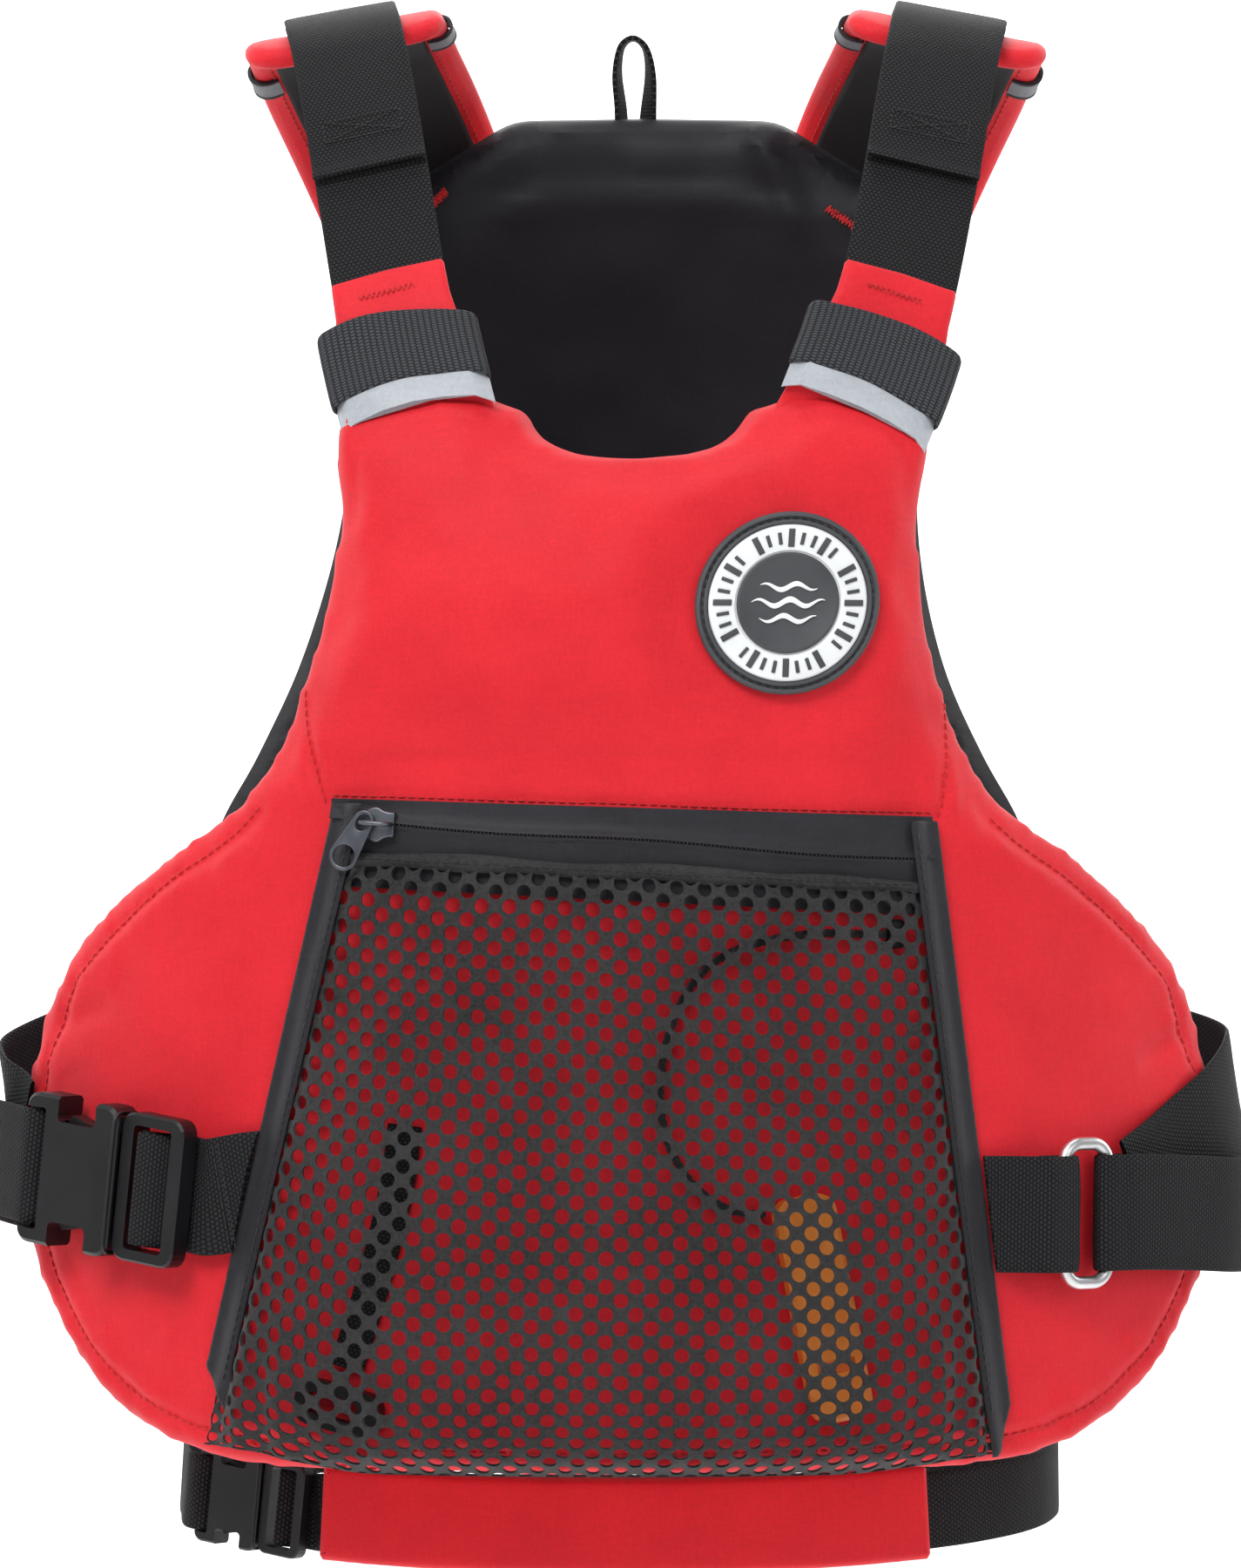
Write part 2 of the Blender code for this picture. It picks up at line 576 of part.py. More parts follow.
# In the puller's frame +X runs down its length, and +Z is the side that the eye lies on.
RING_AT = (0.0138, 0.0020)
RING_RADIUS = 0.0046
ring_arc = []
for turn in range(-84, 97, 20):
    aim = radians(turn)
    ring_arc.append((RING_AT[0] + RING_RADIUS * cos(aim), RING_AT[1] + RING_RADIUS * sin(aim)))
puller_outline = [(-0.0030, -0.0006), (0.0050, -0.0006)] + ring_arc + [(-0.0012, 0.0060), (-0.0030, 0.0044)]
puller = prism("zip_puller", puller_outline, -0.0005, 0.0005, ZIP_METAL, puller_frame, parent=slider_axis)
eye = prism("puller_eye", rounded_box(0.0072, 0.0042, 0.0010, 3, (0.0018, 0.0027)), -0.002, 0.002, None,
            puller_frame, collection=cutters, parent=slider_axis)
hole = prism("puller_hole", [(RING_AT[0] + x, RING_AT[1] + z) for x, z in circle(RING_RADIUS - 0.0011, 20)],
             -0.002, 0.002, None, puller_frame, collection=cutters, parent=slider_axis)
cut(puller, eye)
cut(puller, hole)


# ---------------------------------------------------------------- what the pocket holds
def panel_frame(across, depth, height, tilt=0.0):
    """A frame on the front panel: +X to the right along it, -Y out of it, +Z up, then tilted."""
    turn = Matrix.Rotation(asin(across / BODY_RADIUS), 4, "Z")
    return Matrix.Translation(front(across, depth, height)) @ turn @ Matrix.Rotation(tilt, 4, "Y")


WHISTLE_LENGTH = 0.074
WHISTLE_WIDTH = 0.0205
WHISTLE_THICKNESS = 0.0090
WHISTLE_TILT = radians(-11.2)
whistle_frame = panel_frame(0.0640, 0.0053, 0.0830, WHISTLE_TILT)
whistle = prism("whistle", rounded_box(WHISTLE_WIDTH, WHISTLE_LENGTH, 0.0060, 4), -WHISTLE_THICKNESS / 2,
                WHISTLE_THICKNESS / 2, ORANGE_PLASTIC, whistle_frame, bevel=0.0015)
slot = prism("whistle_slot", rounded_box(0.0130, 0.0045, 0.0010, 2, (0.0, -0.0190)), -0.0080, -0.0015, None,
             whistle_frame, collection=cutters)
cut(whistle, slot)

slab("lanyard_anchor", rounded_box(0.0055, 0.0090, 0.0008, 2, (0.0885, 0.2040)), front, GAP, 0.0040,
     BLACK_WEBBING)
LANYARD_DIAMETER = 0.0030
LANYARD_DEPTH = 0.0028
LANYARD_ROUTE = [(0.0852, 0.2040), (0.0800, 0.2040), (0.0740, 0.2042), (0.0670, 0.2044), (0.0600, 0.2040),
                 (0.0519, 0.2030), (0.0430, 0.2010), (0.0350, 0.1980), (0.0282, 0.1938), (0.0230, 0.1880),
                 (0.0190, 0.1812), (0.0158, 0.1730), (0.0136, 0.1640), (0.0126, 0.1550), (0.0128, 0.1470),
                 (0.0145, 0.1390), (0.0172, 0.1322), (0.0208, 0.1262), (0.0252, 0.1212), (0.0305, 0.1172),
                 (0.0362, 0.1147), (0.0415, 0.1137), (0.0462, 0.1133)]
lanyard_line = Ribbon([front(u, LANYARD_DEPTH, v) for u, v in LANYARD_ROUTE], (0, 0, 1), step=0.0045)
lanyard_curve = bpy.data.curves.new("whistle_lanyard", "CURVE")
lanyard_curve.dimensions = "3D"
lanyard_curve.bevel_depth = LANYARD_DIAMETER / 2
lanyard_curve.bevel_resolution = 2
lanyard_curve.use_fill_caps = True
lanyard_spline = lanyard_curve.splines.new("POLY")
lanyard_spline.points.add(len(lanyard_line.points) - 1)
for curve_point, position in zip(lanyard_spline.points, lanyard_line.points):
    curve_point.co = (*position, 1.0)
lanyard = add_object("whistle_lanyard", lanyard_curve, BLACK_WEBBING)

tether_line = [(-0.0695, 0.1420), (-0.0725, 0.1200), (-0.0800, 0.0900), (-0.0885, 0.0630)]
tether_half = 0.0055
tether = [(x - tether_half, z) for x, z in tether_line] + [(x + tether_half, z) for x, z in reversed(tether_line)]
slab("key_tether", tether, front, 0.0008, 0.0028, BLACK_WEBBING, cuts=(None, 0.014))
clip_frame = panel_frame(-0.0900, 0.0042, 0.0500, radians(14.0))
clip = prism("key_clip", rounded_box(0.0300, 0.0150, 0.0060, 4), -0.0028, 0.0028, BLACK_PLASTIC, clip_frame)
clip_eye = prism("key_clip_eye", rounded_box(0.0190, 0.0070, 0.0030, 3, (-0.0020, 0.0)), -0.010, 0.010, None,
                 clip_frame, collection=cutters)
cut(clip, clip_eye)


# ---------------------------------------------------------------- side-release buckles
def scaled(outline, scale):
    return [(x * scale, z * scale) for x, z in outline]


def latch_outline(sign, scale):
    """A latch arm seen from the front: its outer edge ramps up to the catch in the window."""
    rate = LATCH_ANGLE / RELEASE_TRAVEL
    arm_out = LATCH_WALL - 0.0012
    ramp = []
    for x in (0.0130, 0.0155, 0.0180, 0.0205, 0.0225):
        ramp.append((x, arm_out + 0.0008 + 0.80 * x * rate * (x - THROAT_LENGTH)))
    outline = ([(0.0010, arm_out - 0.0045), (LATCH_TIP - 0.002, arm_out - 0.0045), (LATCH_TIP, arm_out - 0.0030),
                (LATCH_TIP, arm_out + 0.0015)] + list(reversed(ramp)) + [(0.0100, arm_out), (0.0010, arm_out)])
    outline = [(x, z * sign) for x, z in outline]
    return scaled(outline if sign > 0 else list(reversed(outline)), scale)


def make_buckle(name, frame, scale):
    """Male frame with two latch arms, and the housing. +X of the frame points from male to female."""
    thick = BUCKLE_THICKNESS / 2 * scale
    male_outline = rounded_box(BUCKLE_SHOULDER, BUCKLE_WIDTH - 0.001, 0.0050, 4, (-BUCKLE_SHOULDER / 2, 0.0))
    male = prism(name + "_male", scaled(male_outline, scale), -0.0040 * scale, 0.0040 * scale, BLACK_PLASTIC,
                 frame, bevel=0.0008 * scale)
    window = prism(name + "_male_window", scaled(rounded_box(0.0165, 0.0410, 0.0015, 2, (-0.0138, 0.0)), scale),
                   -0.01, 0.01, None, frame, collection=cutters)
    guide = prism(name + "_male_guide", scaled(rounded_box(0.0240, 0.0060, 0.0010, 2, (0.0100, 0.0)), scale),
                  -0.0022 * scale, 0.0022 * scale, None, frame, collection=cutters)
    cut(male, window)
    cut(male, guide, "UNION")

    for side, sign in (("upper", 1.0), ("lower", -1.0)):
        hinge = Vector((0.0010 * scale, 0.0, sign * (LATCH_WALL - 0.0035) * scale))
        arm = prism(name + "_latch_" + side, latch_outline(sign, scale), -0.0030 * scale, 0.0030 * scale,
                    BLACK_PLASTIC)
        arm.data.transform(Matrix.Translation(-hinge))
        arm.matrix_basis = frame @ Matrix.Translation(hinge)

    body_length = BUCKLE_HOUSING - GAP
    housing_middle = (GAP + body_length / 2, 0.0)
    housing_outline = rounded_box(body_length, BUCKLE_WIDTH, 0.0050, 4, housing_middle)
    housing = prism(name + "_female", scaled(housing_outline, scale), -thick, thick, BLACK_PLASTIC, frame,
                    bevel=0.0012 * scale)
    cavity = prism(name + "_cavity", scaled(rounded_box(0.0310, 2 * LATCH_WALL, 0.0004, 1, (0.0140, 0.0)), scale),
                   -0.0036 * scale, 0.0036 * scale, None, frame, collection=cutters)
    cut(housing, cavity)
    window_length = LATCH_WINDOW_END - THROAT_LENGTH
    for side, sign in (("upper", 1.0), ("lower", -1.0)):
        notch = rounded_box(window_length, 0.0200, 0.0020, 3,
                            (THROAT_LENGTH + window_length / 2, sign * (LATCH_WALL - 0.0004 + 0.0100)))
        cut(housing, prism(name + "_notch_" + side, scaled(notch, scale), -0.02, 0.02, None, frame,
                           collection=cutters))
    slot_outline = rounded_box(0.0052, 0.0405, 0.0010, 2, (0.0345, 0.0))
    cut(housing, prism(name + "_slot", scaled(slot_outline, scale), -0.02, 0.02, None, frame,
                       collection=cutters))
    recess = rounded_box(0.0200, 0.0401, 0.0007, 2, (0.0418, 0.0))
    for side, low, high in (("outer", BAR_HALF * scale, 0.02), ("inner", -0.02, -BAR_HALF * scale)):
        cut(housing, prism(name + "_recess_" + side, scaled(recess, scale), low, high, None, frame,
                           collection=cutters))


def belt_frame(point, outward, tilt):
    """+X along the belt away from the middle, +Y out of the jacket, +Z up the belt's width."""
    out = Vector((outward[0], outward[1], 0.0)).normalized()
    up = Vector((0.0, 0.0, 1.0))
    along = out.cross(up)
    turned = Matrix((along, out, up)).transposed().to_4x4()
    return Matrix.Translation(point) @ turned @ Matrix.Rotation(-tilt, 4, "Y")


SIDE_BUCKLE_TURN = asin(-0.1680 / 0.268)
SIDE_BUCKLE_RADIUS = BODY_RADIUS + 0.0088
side_centre = Vector((SIDE_BUCKLE_RADIUS * sin(SIDE_BUCKLE_TURN),
                      FRONT_AXIS_Y - SIDE_BUCKLE_RADIUS * cos(SIDE_BUCKLE_TURN), 0.1225))
side_out = (sin(SIDE_BUCKLE_TURN), -cos(SIDE_BUCKLE_TURN))
side_frame = belt_frame(side_centre, side_out, radians(7.5)) @ Matrix.Translation((-0.0070, 0.0, 0.0))
make_buckle("side_buckle", side_frame, 1.0)


def waist_point(x, y_sign):
    y = WAIST_CENTRE_Y + y_sign * WAIST_HALF_DEPTH * sqrt(max(0.0, 1.0 - (x / WAIST_HALF_WIDTH) ** 2))
    return Vector((x, y, WAIST_HEIGHT + WAIST_RISE * y))


WAIST_BUCKLE_X = -0.1180
waist_joint = waist_point(WAIST_BUCKLE_X, -1.0)
waist_normal = (waist_joint.x / WAIST_HALF_WIDTH ** 2, (waist_joint.y - WAIST_CENTRE_Y) / WAIST_HALF_DEPTH ** 2)
waist_frame = belt_frame(waist_joint, waist_normal, radians(7.0))
make_buckle("waist_buckle", waist_frame, WAIST_BUCKLE_SCALE)


# ---------------------------------------------------------------- belts
def in_frame(frame, x, y, z=0.0):
    return frame @ Vector((x, y, z))


def belt(name, points, width, up_start=(0, 0, 1), up_end=(0, 0, 1), step=0.008, slant=0.0):
    line = Ribbon(points, up_start, up_end, step=0.003)
    outline = [(slant, -width / 2), (line.length, -width / 2), (line.length, width / 2), (0.0, width / 2)]
    return slab(name, outline, line.place, -WEBBING / 2, WEBBING / 2, BLACK_WEBBING, cuts=(step, None))


tilt_up = side_frame.to_3x3() @ Vector((0, 0, 1))
belt("side_stub_left",
     [front(-0.1155, 0.0020, 0.1206), front(-0.1200, 0.0020, 0.1201), in_frame(side_frame, -0.0310, -0.0065),
      in_frame(side_frame, -0.0250, -0.0065), in_frame(side_frame, -0.0205, -0.0054),
      in_frame(side_frame, -0.0165, -0.0016), in_frame(side_frame, -0.0125, 0.0018),
      in_frame(side_frame, -0.0085, 0.0028)],
     WIDE_WEBBING, (0, 0, 1), tilt_up, step=0.005, slant=0.0150)
BACK_RIM = (0.1482, 0.0563)
belt("side_belt_left",
     [in_frame(side_frame, 0.0343, -0.0012), in_frame(side_frame, 0.0350, 0.0024),
      in_frame(side_frame, 0.0380, 0.0046), in_frame(side_frame, 0.0425, 0.0044),
      Vector((-0.2105, -0.0330, 0.1290)), Vector((-0.2110, -0.0140, 0.1270)), Vector((-0.2030, 0.0080, 0.1230)),
      Vector((-0.1860, 0.0310, 0.1170)), Vector((-0.1640, 0.0480, 0.1120)),
      Vector((-BACK_RIM[0], BACK_RIM[1], 0.110))],
     WIDE_WEBBING, tilt_up, (0, 0, 1), step=0.006)
belt("side_belt_left_return",
     [Vector((-0.1990, -0.0300, 0.1370)), Vector((-0.2050, -0.0180, 0.1440)), Vector((-0.2030, -0.0020, 0.1500)),
      Vector((-0.1860, 0.0230, 0.1580)), Vector((-0.1640, 0.0420, 0.1640)), Vector((-0.1500, 0.0510, 0.1670))],
     WIDE_WEBBING, (-0.12, 0.12, 1), (0, 0, 1))

RING_WIRE = 0.0044
RING_HALF_WIDTH = 0.0088
RING_HALF_HEIGHT = 0.0228
RING_CORNER = 0.0055
ring_turn = asin(0.1525 / 0.266)
ring_radius = BODY_RADIUS + 0.0062
ring_centre = Vector((ring_radius * sin(ring_turn), FRONT_AXIS_Y - ring_radius * cos(ring_turn), 0.1120))
ring_matrix = Matrix.Translation(ring_centre) @ Matrix.Rotation(ring_turn, 4, "Z")
# In the ring's frame +X runs round the jacket to the side, -Y points out of it.
ring_curve = bpy.data.curves.new("belt_ring", "CURVE")
ring_curve.dimensions = "3D"
ring_curve.bevel_depth = RING_WIRE / 2
ring_curve.bevel_resolution = 2
ring_spline = ring_curve.splines.new("POLY")
ring_points = rounded_box(2 * RING_HALF_WIDTH, 2 * RING_HALF_HEIGHT, RING_CORNER, 4)
ring_spline.points.add(len(ring_points) - 1)
for curve_point, (ring_x, ring_z) in zip(ring_spline.points, ring_points):
    curve_point.co = (ring_x + RING_HALF_WIDTH, 0.0, ring_z, 1.0)
ring_spline.use_cyclic_u = True
belt_ring = add_object("belt_ring", ring_curve, STEEL)
belt_ring.matrix_basis = ring_matrix @ Matrix.Translation((-RING_HALF_WIDTH, 0.0, 0.0))

WRAP = RING_WIRE / 2 + 2.4 * GAP + WEBBING / 2
stub_wrap = [in_frame(ring_matrix, -RING_HALF_WIDTH + x, y) for x, y in
             ((-0.0090, -WRAP * 0.95), (-0.0035, -WRAP), (0.0, -WRAP), (WRAP * 0.75, -WRAP * 0.72), (WRAP, 0.0),
              (WRAP * 0.75, WRAP * 0.72), (0.0, WRAP), (-0.0035, WRAP), (-0.0080, WRAP * 0.93))]
belt("side_stub_right",
     [front(0.1168, 0.0030, 0.1124), front(0.1230, 0.0036, 0.1123), front(0.1310, 0.0070, 0.1121)] + stub_wrap,
     WIDE_WEBBING, step=0.0028, slant=0.0052)
belt_wrap = [in_frame(ring_matrix, RING_HALF_WIDTH + x, y) for x, y in
             ((0.0100, WRAP * 0.93), (0.0035, WRAP), (0.0, WRAP), (-WRAP * 0.75, WRAP * 0.72), (-WRAP, 0.0),
              (-WRAP * 0.75, -WRAP * 0.72), (0.0, -WRAP), (0.0035, -WRAP), (0.0120, -WRAP))]
belt("side_belt_right",
     belt_wrap + [Vector((0.1890, -0.0585, 0.1110)), Vector((0.2040, -0.0400, 0.1095)),
                  Vector((0.2105, -0.0180, 0.1090)), Vector((0.2030, 0.0080, 0.1090)),
                  Vector((0.1860, 0.0310, 0.1095)), Vector((0.1640, 0.0480, 0.1100)),
                  Vector((BACK_RIM[0], BACK_RIM[1], 0.1100))],
     WIDE_WEBBING, step=0.0028)
belt("side_belt_right_return",
     [in_frame(ring_matrix, RING_HALF_WIDTH + 0.0140, 0.0012, 0.0060), Vector((0.1840, -0.0520, 0.1275)),
      Vector((0.1990, -0.0360, 0.1400)), Vector((0.2055, -0.0160, 0.1500)), Vector((0.2030, 0.0000, 0.1540)),
      Vector((0.1860, 0.0230, 0.1590)), Vector((0.1640, 0.0420, 0.1640)), Vector((0.1500, 0.0510, 0.1670))],
     WIDE_WEBBING, (-0.30, -0.20, 1), (0, 0, 1))

SLEEVE_WIDTH = 0.0305
SLEEVE_XS = (-0.0965, -0.078, -0.055, -0.028, 0.0, 0.028, 0.055, 0.078, 0.1000)
sleeve_line = Ribbon([waist_point(x, -1.0) for x in SLEEVE_XS], (0, 0, 1))
strip("waist_sleeve", sleeve_line, 0.0, sleeve_line.length, SLEEVE_WIDTH, -0.0020, 0.0020, RED_CLOTH, step=0.010)
belt("waist_belt_front",
     [waist_point(-0.0990, -1.0), in_frame(waist_frame, -0.0210, -0.0043), in_frame(waist_frame, -0.0152, -0.0044),
      in_frame(waist_frame, -0.0128, -0.0038), in_frame(waist_frame, -0.0094, -0.0008),
      in_frame(waist_frame, -0.0062, 0.0013)],
     NARROW_WEBBING, step=0.004)
belt("waist_belt_left",
     [in_frame(waist_frame, 0.0222, -0.0008), in_frame(waist_frame, 0.0227, 0.0018),
      in_frame(waist_frame, 0.0247, 0.0040), in_frame(waist_frame, 0.0280, 0.0040),
      in_frame(waist_frame, 0.0325, 0.0014), waist_point(-0.1460, -1.0),
      waist_point(-0.1470, -1.0), waist_point(-0.1450, 1.0), waist_point(-0.1370, 1.0), waist_point(-0.1220, 1.0),
      waist_point(-0.1040, 1.0)],
     NARROW_WEBBING, waist_frame.to_3x3() @ Vector((0, 0, 1)), (0, 0, 1), step=0.0025)
belt("waist_belt",
     [waist_point(x, -1.0) for x in (0.1005, 0.1180, 0.1330, 0.1430, 0.1470)]
     + [waist_point(x, 1.0) for x in (0.1430, 0.1330, 0.1180, 0.0980, 0.0700, 0.0350, 0.0, -0.0350, -0.0700,
                                      -0.1035)],
     NARROW_WEBBING, step=0.009)

for made_object in jacket.objects:
    if made_object.type == "MESH":
        smooth_shading(made_object)
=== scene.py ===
"""Looks of the paddling life jacket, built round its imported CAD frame."""
import json
import math

import bmesh
import bpy
import numpy as np
from mathutils import Matrix, Vector, noise
from mathutils.bvhtree import BVHTree
from mathutils.kdtree import KDTree

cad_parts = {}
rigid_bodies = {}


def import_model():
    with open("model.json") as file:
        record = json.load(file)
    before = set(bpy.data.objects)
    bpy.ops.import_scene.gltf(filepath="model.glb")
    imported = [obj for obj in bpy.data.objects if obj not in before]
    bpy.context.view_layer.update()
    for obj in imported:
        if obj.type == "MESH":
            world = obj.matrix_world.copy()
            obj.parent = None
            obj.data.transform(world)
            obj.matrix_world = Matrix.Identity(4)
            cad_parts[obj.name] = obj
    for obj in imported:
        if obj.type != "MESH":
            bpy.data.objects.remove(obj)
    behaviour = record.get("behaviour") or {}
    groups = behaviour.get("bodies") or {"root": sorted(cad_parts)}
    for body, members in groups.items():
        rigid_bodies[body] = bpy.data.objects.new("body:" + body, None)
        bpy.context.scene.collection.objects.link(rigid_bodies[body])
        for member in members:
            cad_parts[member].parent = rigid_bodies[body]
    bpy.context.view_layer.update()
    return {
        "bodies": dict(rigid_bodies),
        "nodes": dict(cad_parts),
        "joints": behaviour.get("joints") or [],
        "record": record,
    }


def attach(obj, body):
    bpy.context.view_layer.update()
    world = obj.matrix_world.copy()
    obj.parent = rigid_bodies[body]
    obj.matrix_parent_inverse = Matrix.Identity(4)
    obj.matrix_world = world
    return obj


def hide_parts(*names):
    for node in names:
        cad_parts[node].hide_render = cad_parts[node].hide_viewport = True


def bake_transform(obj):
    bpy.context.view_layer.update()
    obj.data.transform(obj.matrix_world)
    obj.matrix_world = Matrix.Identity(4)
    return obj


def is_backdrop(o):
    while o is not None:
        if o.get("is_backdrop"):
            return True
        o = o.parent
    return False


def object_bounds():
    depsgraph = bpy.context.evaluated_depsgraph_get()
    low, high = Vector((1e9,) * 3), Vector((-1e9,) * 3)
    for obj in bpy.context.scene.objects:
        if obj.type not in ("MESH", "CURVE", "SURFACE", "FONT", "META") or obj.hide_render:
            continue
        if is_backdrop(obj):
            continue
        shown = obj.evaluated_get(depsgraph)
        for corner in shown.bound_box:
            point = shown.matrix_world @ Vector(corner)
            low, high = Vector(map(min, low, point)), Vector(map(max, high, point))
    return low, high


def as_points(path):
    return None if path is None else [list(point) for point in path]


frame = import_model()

NODES = frame["nodes"]
scene = bpy.context.scene

# The jacket is laid out from its hem and the wearer's axis; OFFSET puts the loop's inside top at the origin.
OFFSET = Vector((0.0045, 0.083, 0.5095))
R = 0.260
FRONT_AXIS = 0.135
BACK_AXIS = -0.140


def at(x, y, z):
    return Vector((x, y, z)) - OFFSET


def laid_out(frame):
    """A frame to a hundredth of a millimetre, which is how finely its pieces were laid out."""
    return Matrix([[round(x, 5) for x in row] for row in frame])


def smooth(low, high, value):
    t = min(1.0, max(0.0, (value - low) / (high - low)))
    return t * t * (3.0 - 2.0 * t)


def sideways(height):
    return 0.0085 * smooth(0.270, 0.450, height)


def front(u, d, v):
    a = math.asin(max(-0.999, min(0.999, u / R)))
    return Vector(((R + d) * math.sin(a) + sideways(v),
                   FRONT_AXIS - (R + d) * math.cos(a) + 2.2 * max(0.0, v - 0.290) ** 2, v)) - OFFSET


def back(u, d, v):
    a = math.asin(max(-0.999, min(0.999, u / R)))
    return Vector(((R + d) * math.sin(a) + sideways(v),
                   BACK_AXIS + (R + d) * math.cos(a) - max(0.0, v - 0.330) ** 2, v)) - OFFSET


def spline(points, per_span=6):
    pts = [Vector(p) for p in points]
    padded = [pts[0] * 2 - pts[1]] + pts + [pts[-1] * 2 - pts[-2]]
    line = []
    for a, b, c, d in zip(padded, padded[1:], padded[2:], padded[3:]):
        for step in range(per_span):
            t = step / per_span
            line.append(0.5 * (2 * b + (c - a) * t + (2 * a - 5 * b + 4 * c - d) * t * t
                               + (3 * b - a - 3 * c + d) * t ** 3))
    line.append(pts[-1])
    return line


def spline2(points, per_span=6):
    return [(p.x, p.y) for p in spline([(x, y, 0) for x, y in points], per_span)]


def rounded_box(width, height, radius, steps=6, centre=(0.0, 0.0)):
    outline = []
    for sx, sz, start in ((1, -1, -math.pi / 2), (1, 1, 0.0), (-1, 1, math.pi / 2), (-1, -1, math.pi)):
        for step in range(steps + 1):
            turn = start + step / steps * math.pi / 2
            outline.append((centre[0] + sx * (width / 2 - radius) + radius * math.cos(turn),
                            centre[1] + sz * (height / 2 - radius) + radius * math.sin(turn)))
    return outline


def even(points, step, closed=False):
    """The same line with points a step apart."""
    pts = [Vector(p) for p in points]
    if closed:
        pts.append(pts[0])
    lengths = [0.0]
    for p, q in zip(pts, pts[1:]):
        lengths.append(lengths[-1] + (q - p).length)
    count = max(2, round(lengths[-1] / step))
    out = []
    k = 0
    for i in range(count if closed else count + 1):
        want = lengths[-1] * i / count
        while k < len(pts) - 2 and lengths[k + 1] < want:
            k += 1
        span = lengths[k + 1] - lengths[k]
        out.append(pts[k].lerp(pts[k + 1], (want - lengths[k]) / span if span > 0 else 0.0))
    return out


def even_outline(points, step):
    """A closed flat outline with points a step apart, as rows of an array."""
    return np.array([(p.x, p.y) for p in even([(x, y, 0) for x, y in points], step, closed=True)])


class Ribbon:
    """A strip's centre line with its width direction; place(along, depth, across) gives a point."""

    def __init__(self, points, side_start=None, side_end=None, step=0.0025, sides=None):
        self.points = even(spline(points, 12), step)
        self.count = len(self.points) - 1
        self.length = sum((q - p).length for p, q in zip(self.points, self.points[1:]))
        self.sides = [Vector(s) for s in (sides or (side_start, side_end or side_start))]

    def frame(self, along):
        reached = min(max(along / self.length, 0.0), 1.0) * self.count
        k = min(int(reached), self.count - 1)
        point = self.points[k].lerp(self.points[k + 1], reached - k)
        here = (self.points[k + 1] - self.points[max(k - 1, 0)]).normalized()
        ahead = (self.points[min(k + 2, self.count)] - self.points[k]).normalized()
        tangent = here.lerp(ahead, reached - k).normalized()
        spans = len(self.sides) - 1
        part = reached / self.count * spans
        j = min(int(part), spans - 1)
        side = self.sides[j].lerp(self.sides[j + 1], part - j)
        side = (side - tangent * side.dot(tangent)).normalized()
        beyond = along - min(max(along, 0.0), self.length)
        return point + tangent * beyond, tangent, side

    def place(self, along, depth, across):
        point, tangent, side = self.frame(along)
        return point + side * across + side.cross(tangent) * depth

    def at_height(self, height):
        for i, (p, q) in enumerate(zip(self.points, self.points[1:])):
            if p.z <= height <= q.z:
                return (i + (height - p.z) / (q.z - p.z)) / self.count * self.length
        raise ValueError("the ribbon never reaches that height")


# ---------------------------------------------------------------- camera, light and floor
FRONT_PLANE = -0.125 - OFFSET.y
camera_data = bpy.data.cameras.new("camera")
camera_data.sensor_fit = "AUTO"
camera_data.sensor_width = 36.0
camera_data.lens = 213.0
camera_data.clip_end = 50.0
camera = bpy.data.objects.new("camera", camera_data)
camera.location = (-OFFSET.x, FRONT_PLANE - 3.0, 0.2527 - OFFSET.z)
camera.rotation_euler = (math.pi / 2, 0.0, 0.0)
scene.collection.objects.link(camera)
scene.camera = camera
scene.view_settings.view_transform = "Standard"
scene.view_settings.look = "None"


def area_light(name, location, target, size, power, colour=(1, 1, 1)):
    data = bpy.data.lights.new(name, "AREA")
    data.shape = "RECTANGLE"
    data.size, data.size_y = size
    data.energy = power
    data.color = colour
    light = bpy.data.objects.new(name, data)
    light.location = location
    light.rotation_euler = (Vector(target) - Vector(location)).to_track_quat("-Z", "Y").to_euler()
    scene.collection.objects.link(light)


TARGET = (0.0, -0.08, -0.26)
area_light("key", (-0.9, -2.2, 1.6), (0.0, -0.08, -0.20), (1.6, 1.2), 56.0)
area_light("fill", (1.6, -2.0, 0.5), TARGET, (1.4, 1.6), 11.0)
area_light("top", (0.0, 0.1, 2.2), TARGET, (2.0, 2.0), 26.0)
area_light("rim_left", (-1.8, 0.6, 0.4), TARGET, (1.0, 1.6), 14.0)
area_light("rim_right", (1.8, 0.6, 0.4), TARGET, (1.0, 1.6), 14.0)
area_light("behind", (0.0, 2.4, 1.6), TARGET, (2.0, 1.4), 18.0)
area_light("backdrop", (0.0, 3.2, 2.6), (0.0, 5.0, 0.0), (4.0, 1.0), 240.0)
world = bpy.data.worlds.new("world")
scene.world = world
world.use_nodes = True
world.node_tree.nodes["Background"].inputs[0].default_value = (1.0, 1.0, 1.0, 1.0)
world.node_tree.nodes["Background"].inputs[1].default_value = 0.26


